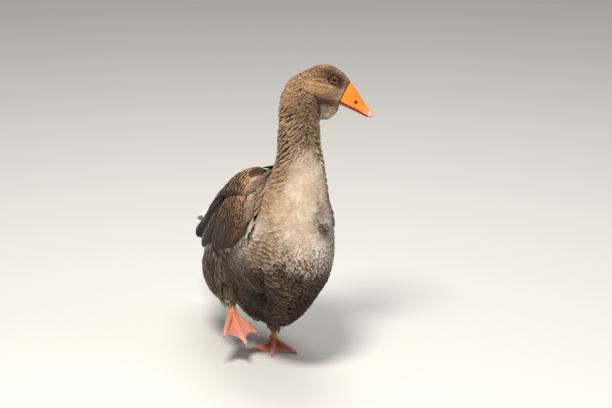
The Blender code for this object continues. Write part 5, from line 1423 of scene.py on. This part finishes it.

# Eyes: glossy balls with a brown iris, each in a ring of lid whose upper part is darkened with painted shade from
# the brow

eyeSettings = {
    "pupil": (12, 8, 7), "iris": (152, 74, 25), "irisRim": (70, 30, 12), "white": (46, 30, 22),
    "pupilEdge": 0.850, "irisEdge": 0.560,
    "ring": (162, 98, 62), "ringDark": (92, 58, 41), "ringBrowShade": (36, 25, 20),
    "ringRadius": 0.0072, "ringThick": 0.0009, "ringOut": 0.0056,
}
for side, sideName in ((-1, "right"), (1, "left")):
    middle = headPoint(eyeMeasures["s"], side * eyeMeasures["q"], eyeMeasures["t"])
    outward = (headSide * side + headForward * 0.17 + headUp * 0.40).normalized()
    ball = freshPiece(bpy.ops.mesh.primitive_uv_sphere_add, "eyeball_" + sideName, segments=40, ring_count=24,
                      radius=eyeMeasures["radius"])
    # the cornea swells a little out of the ball's outer pole
    for vertex in ball.data.vertices:
        pole = max(0.0, vertex.co.z / eyeMeasures["radius"] - 0.72) / 0.28
        vertex.co.z += 0.0007 * pole * pole
    ball.data.transform(Matrix.Translation(middle) @ outward.to_track_quat("Z", "Y").to_matrix().to_4x4())
    selectOnly(ball)
    bpy.ops.object.shade_smooth()
    eyeFinish = Finish("eye_" + sideName)
    eyePlace = eyeFinish.place()
    gaze = eyeFinish.math("DIVIDE", eyeFinish.along(eyePlace, middle, outward), eyeMeasures["radius"])
    fibres = eyeFinish.noise(eyePlace, 900.0, 3.0)
    irisEdge, pupilEdge = eyeSettings["irisEdge"], eyeSettings["pupilEdge"]
    look = eyeFinish.mix(eyeFinish.ramp(fibres, 0.3, 0.7), paint(*eyeSettings["iris"]), paint(96, 45, 17))
    for start, end, high, low, part in ((irisEdge, irisEdge + 0.05, 1.0, 0.0, "irisRim"),
                                        (pupilEdge, pupilEdge + 0.015, 0.0, 1.0, "pupil"),
                                        (irisEdge - 0.02, irisEdge, 1.0, 0.0, "white")):
        look = eyeFinish.mix(eyeFinish.ramp(gaze, start, end, high, low), look, paint(*eyeSettings[part]))
    eyeFinish.tune({"Coat Weight": 0.12, "Coat Roughness": 0.04, "Specular IOR Level": 0.22})
    eyeFinish.dress(look, fibres, 0.05, 0.09, 0.00005)
    ball.data.materials.append(eyeFinish.material)
    settle(ball, "eye", "eye_" + sideName)

    lid = freshPiece(bpy.ops.mesh.primitive_torus_add, "lid_ring_" + sideName, major_segments=56, minor_segments=14,
                     major_radius=eyeSettings["ringRadius"], minor_radius=eyeSettings["ringThick"])
    # drawn out to a corner in front and behind, and folded over the ball's upper rim
    for vertex in lid.data.vertices:
        x, y, z = vertex.co
        turnHere = math.atan2(y, x)
        corner, upper = abs(math.cos(turnHere)) ** 6, max(0.0, math.sin(turnHere))
        flatter = 0.12 if y > 0 else 0.0
        vertex.co = (x * (1.06 + 0.10 * corner), y * (0.90 - 0.10 * corner - flatter) - 0.0006 * upper,
                     z * 0.8 - 0.0009 * corner + 0.0006 * upper)
    ahead = (headForward - outward * outward.dot(headForward)).normalized() * -side
    facing = Matrix((ahead, outward.cross(ahead), outward)).transposed()
    lid.data.transform(Matrix.Translation(middle + outward * eyeSettings["ringOut"] * 0.72) @ facing.to_4x4())
    selectOnly(lid)
    bpy.ops.object.shade_smooth()
    lidFinish = Finish("lidRing_" + sideName)
    lidPlace = lidFinish.place()
    wrinkles = lidFinish.noise(lidPlace, 1400.0, 3.0)
    ringTone = lidFinish.mix(lidFinish.ramp(wrinkles, 0.35, 0.65), paint(*eyeSettings["ringDark"]),
                             paint(*eyeSettings["ring"]))
    # painted shade: the lid ring is dark above, where the brow overhangs it
    browShade = lidFinish.ramp(lidFinish.along(lidPlace, middle, headUp), -0.0012, 0.0014)
    lid.data.materials.append(lidFinish.dress(
        lidFinish.mix(browShade, ringTone, paint(*eyeSettings["ringBrowShade"])), wrinkles, 0.45, 0.60, 0.0002))
    settle(lid, "eye")
print("eyes and lids")

# Legs: shank and webbed foot in one skin with its scutes, orange above and pinker towards the toes

legSettings = {
    "voxel": 0.0008, "smoothing": 3,
    "shank": (243, 158, 100), "web": (246, 164, 142), "toe": (250, 184, 166), "crease": (206, 116, 90),
    "claw": (120, 92, 76), "clawTip": (206, 180, 158),
}
for sideName in ("left", "right"):
    leg = joinCopies(("shank_" + sideName, "foot_" + sideName), "leg_skin_" + sideName)
    melt(leg, legSettings)
    bpy.ops.object.shade_smooth()
    legFinish = Finish("legSkin_" + sideName)
    legPlace = legFinish.place()
    fromJoint = legFinish.distance(legPlace, legJoints[sideName])
    cells = legFinish.add("TexVoronoi", feature="DISTANCE_TO_EDGE")
    cells.inputs["Scale"].default_value = 420.0
    legFinish.plug(legPlace, cells.inputs["Vector"])
    scute = legFinish.ramp(cells.outputs["Distance"], 0.0, 0.12)
    mottle = legFinish.noise(legPlace, 90.0, 4.0)
    tone = paint(*legSettings["shank"])
    for start, end, part in ((0.010, 0.055, "web"), (0.058, 0.082, "toe")):
        tone = legFinish.mix(legFinish.ramp(fromJoint, start, end), tone, paint(*legSettings[part]))
    tone = legFinish.mix(legFinish.ramp(mottle, 0.45, 0.75, 0.0, 0.30), tone, paint(236, 136, 110))
    tone = legFinish.mix(legFinish.math("MULTIPLY", legFinish.math("SUBTRACT", 1.0, scute), 0.45), tone,
                         paint(*legSettings["crease"]))
    legFinish.tune({"Subsurface Weight": 0.10, "Subsurface Radius": (0.004, 0.0016, 0.001)})
    leg.data.materials.append(legFinish.dress(tone, mottle, 0.42, 0.60, 0.0005, height=scute))
    settle(leg, "leg_skin", "shank_" + sideName, "foot_" + sideName)

clawFinish = Finish("claw")
clawPlace = clawFinish.place()
clawGrain = clawFinish.noise(clawPlace, 500.0, 3.0)
clawTone = clawFinish.mix(clawFinish.ramp(clawGrain, 0.3, 0.7), paint(*legSettings["claw"]),
                          paint(*legSettings["clawTip"]))
clawFinish.dress(clawTone, clawGrain, 0.35, 0.50, 0.0002)
for sideName in ("left", "right"):
    for toeName in ("inner", "middle", "outer", "hind"):
        nodeName = "claw_" + sideName + "_" + toeName
        claw = copyOfNode(nodeName, nodeName + "_horn")
        addAndApply(claw, "SUBSURF", levels=2, render_levels=2)
        bpy.ops.object.shade_smooth()
        claw.data.materials.append(clawFinish.material)
        settle(claw, "claw", nodeName)
print("legs and claws")

bpy.ops.object.select_all(action="DESELECT")
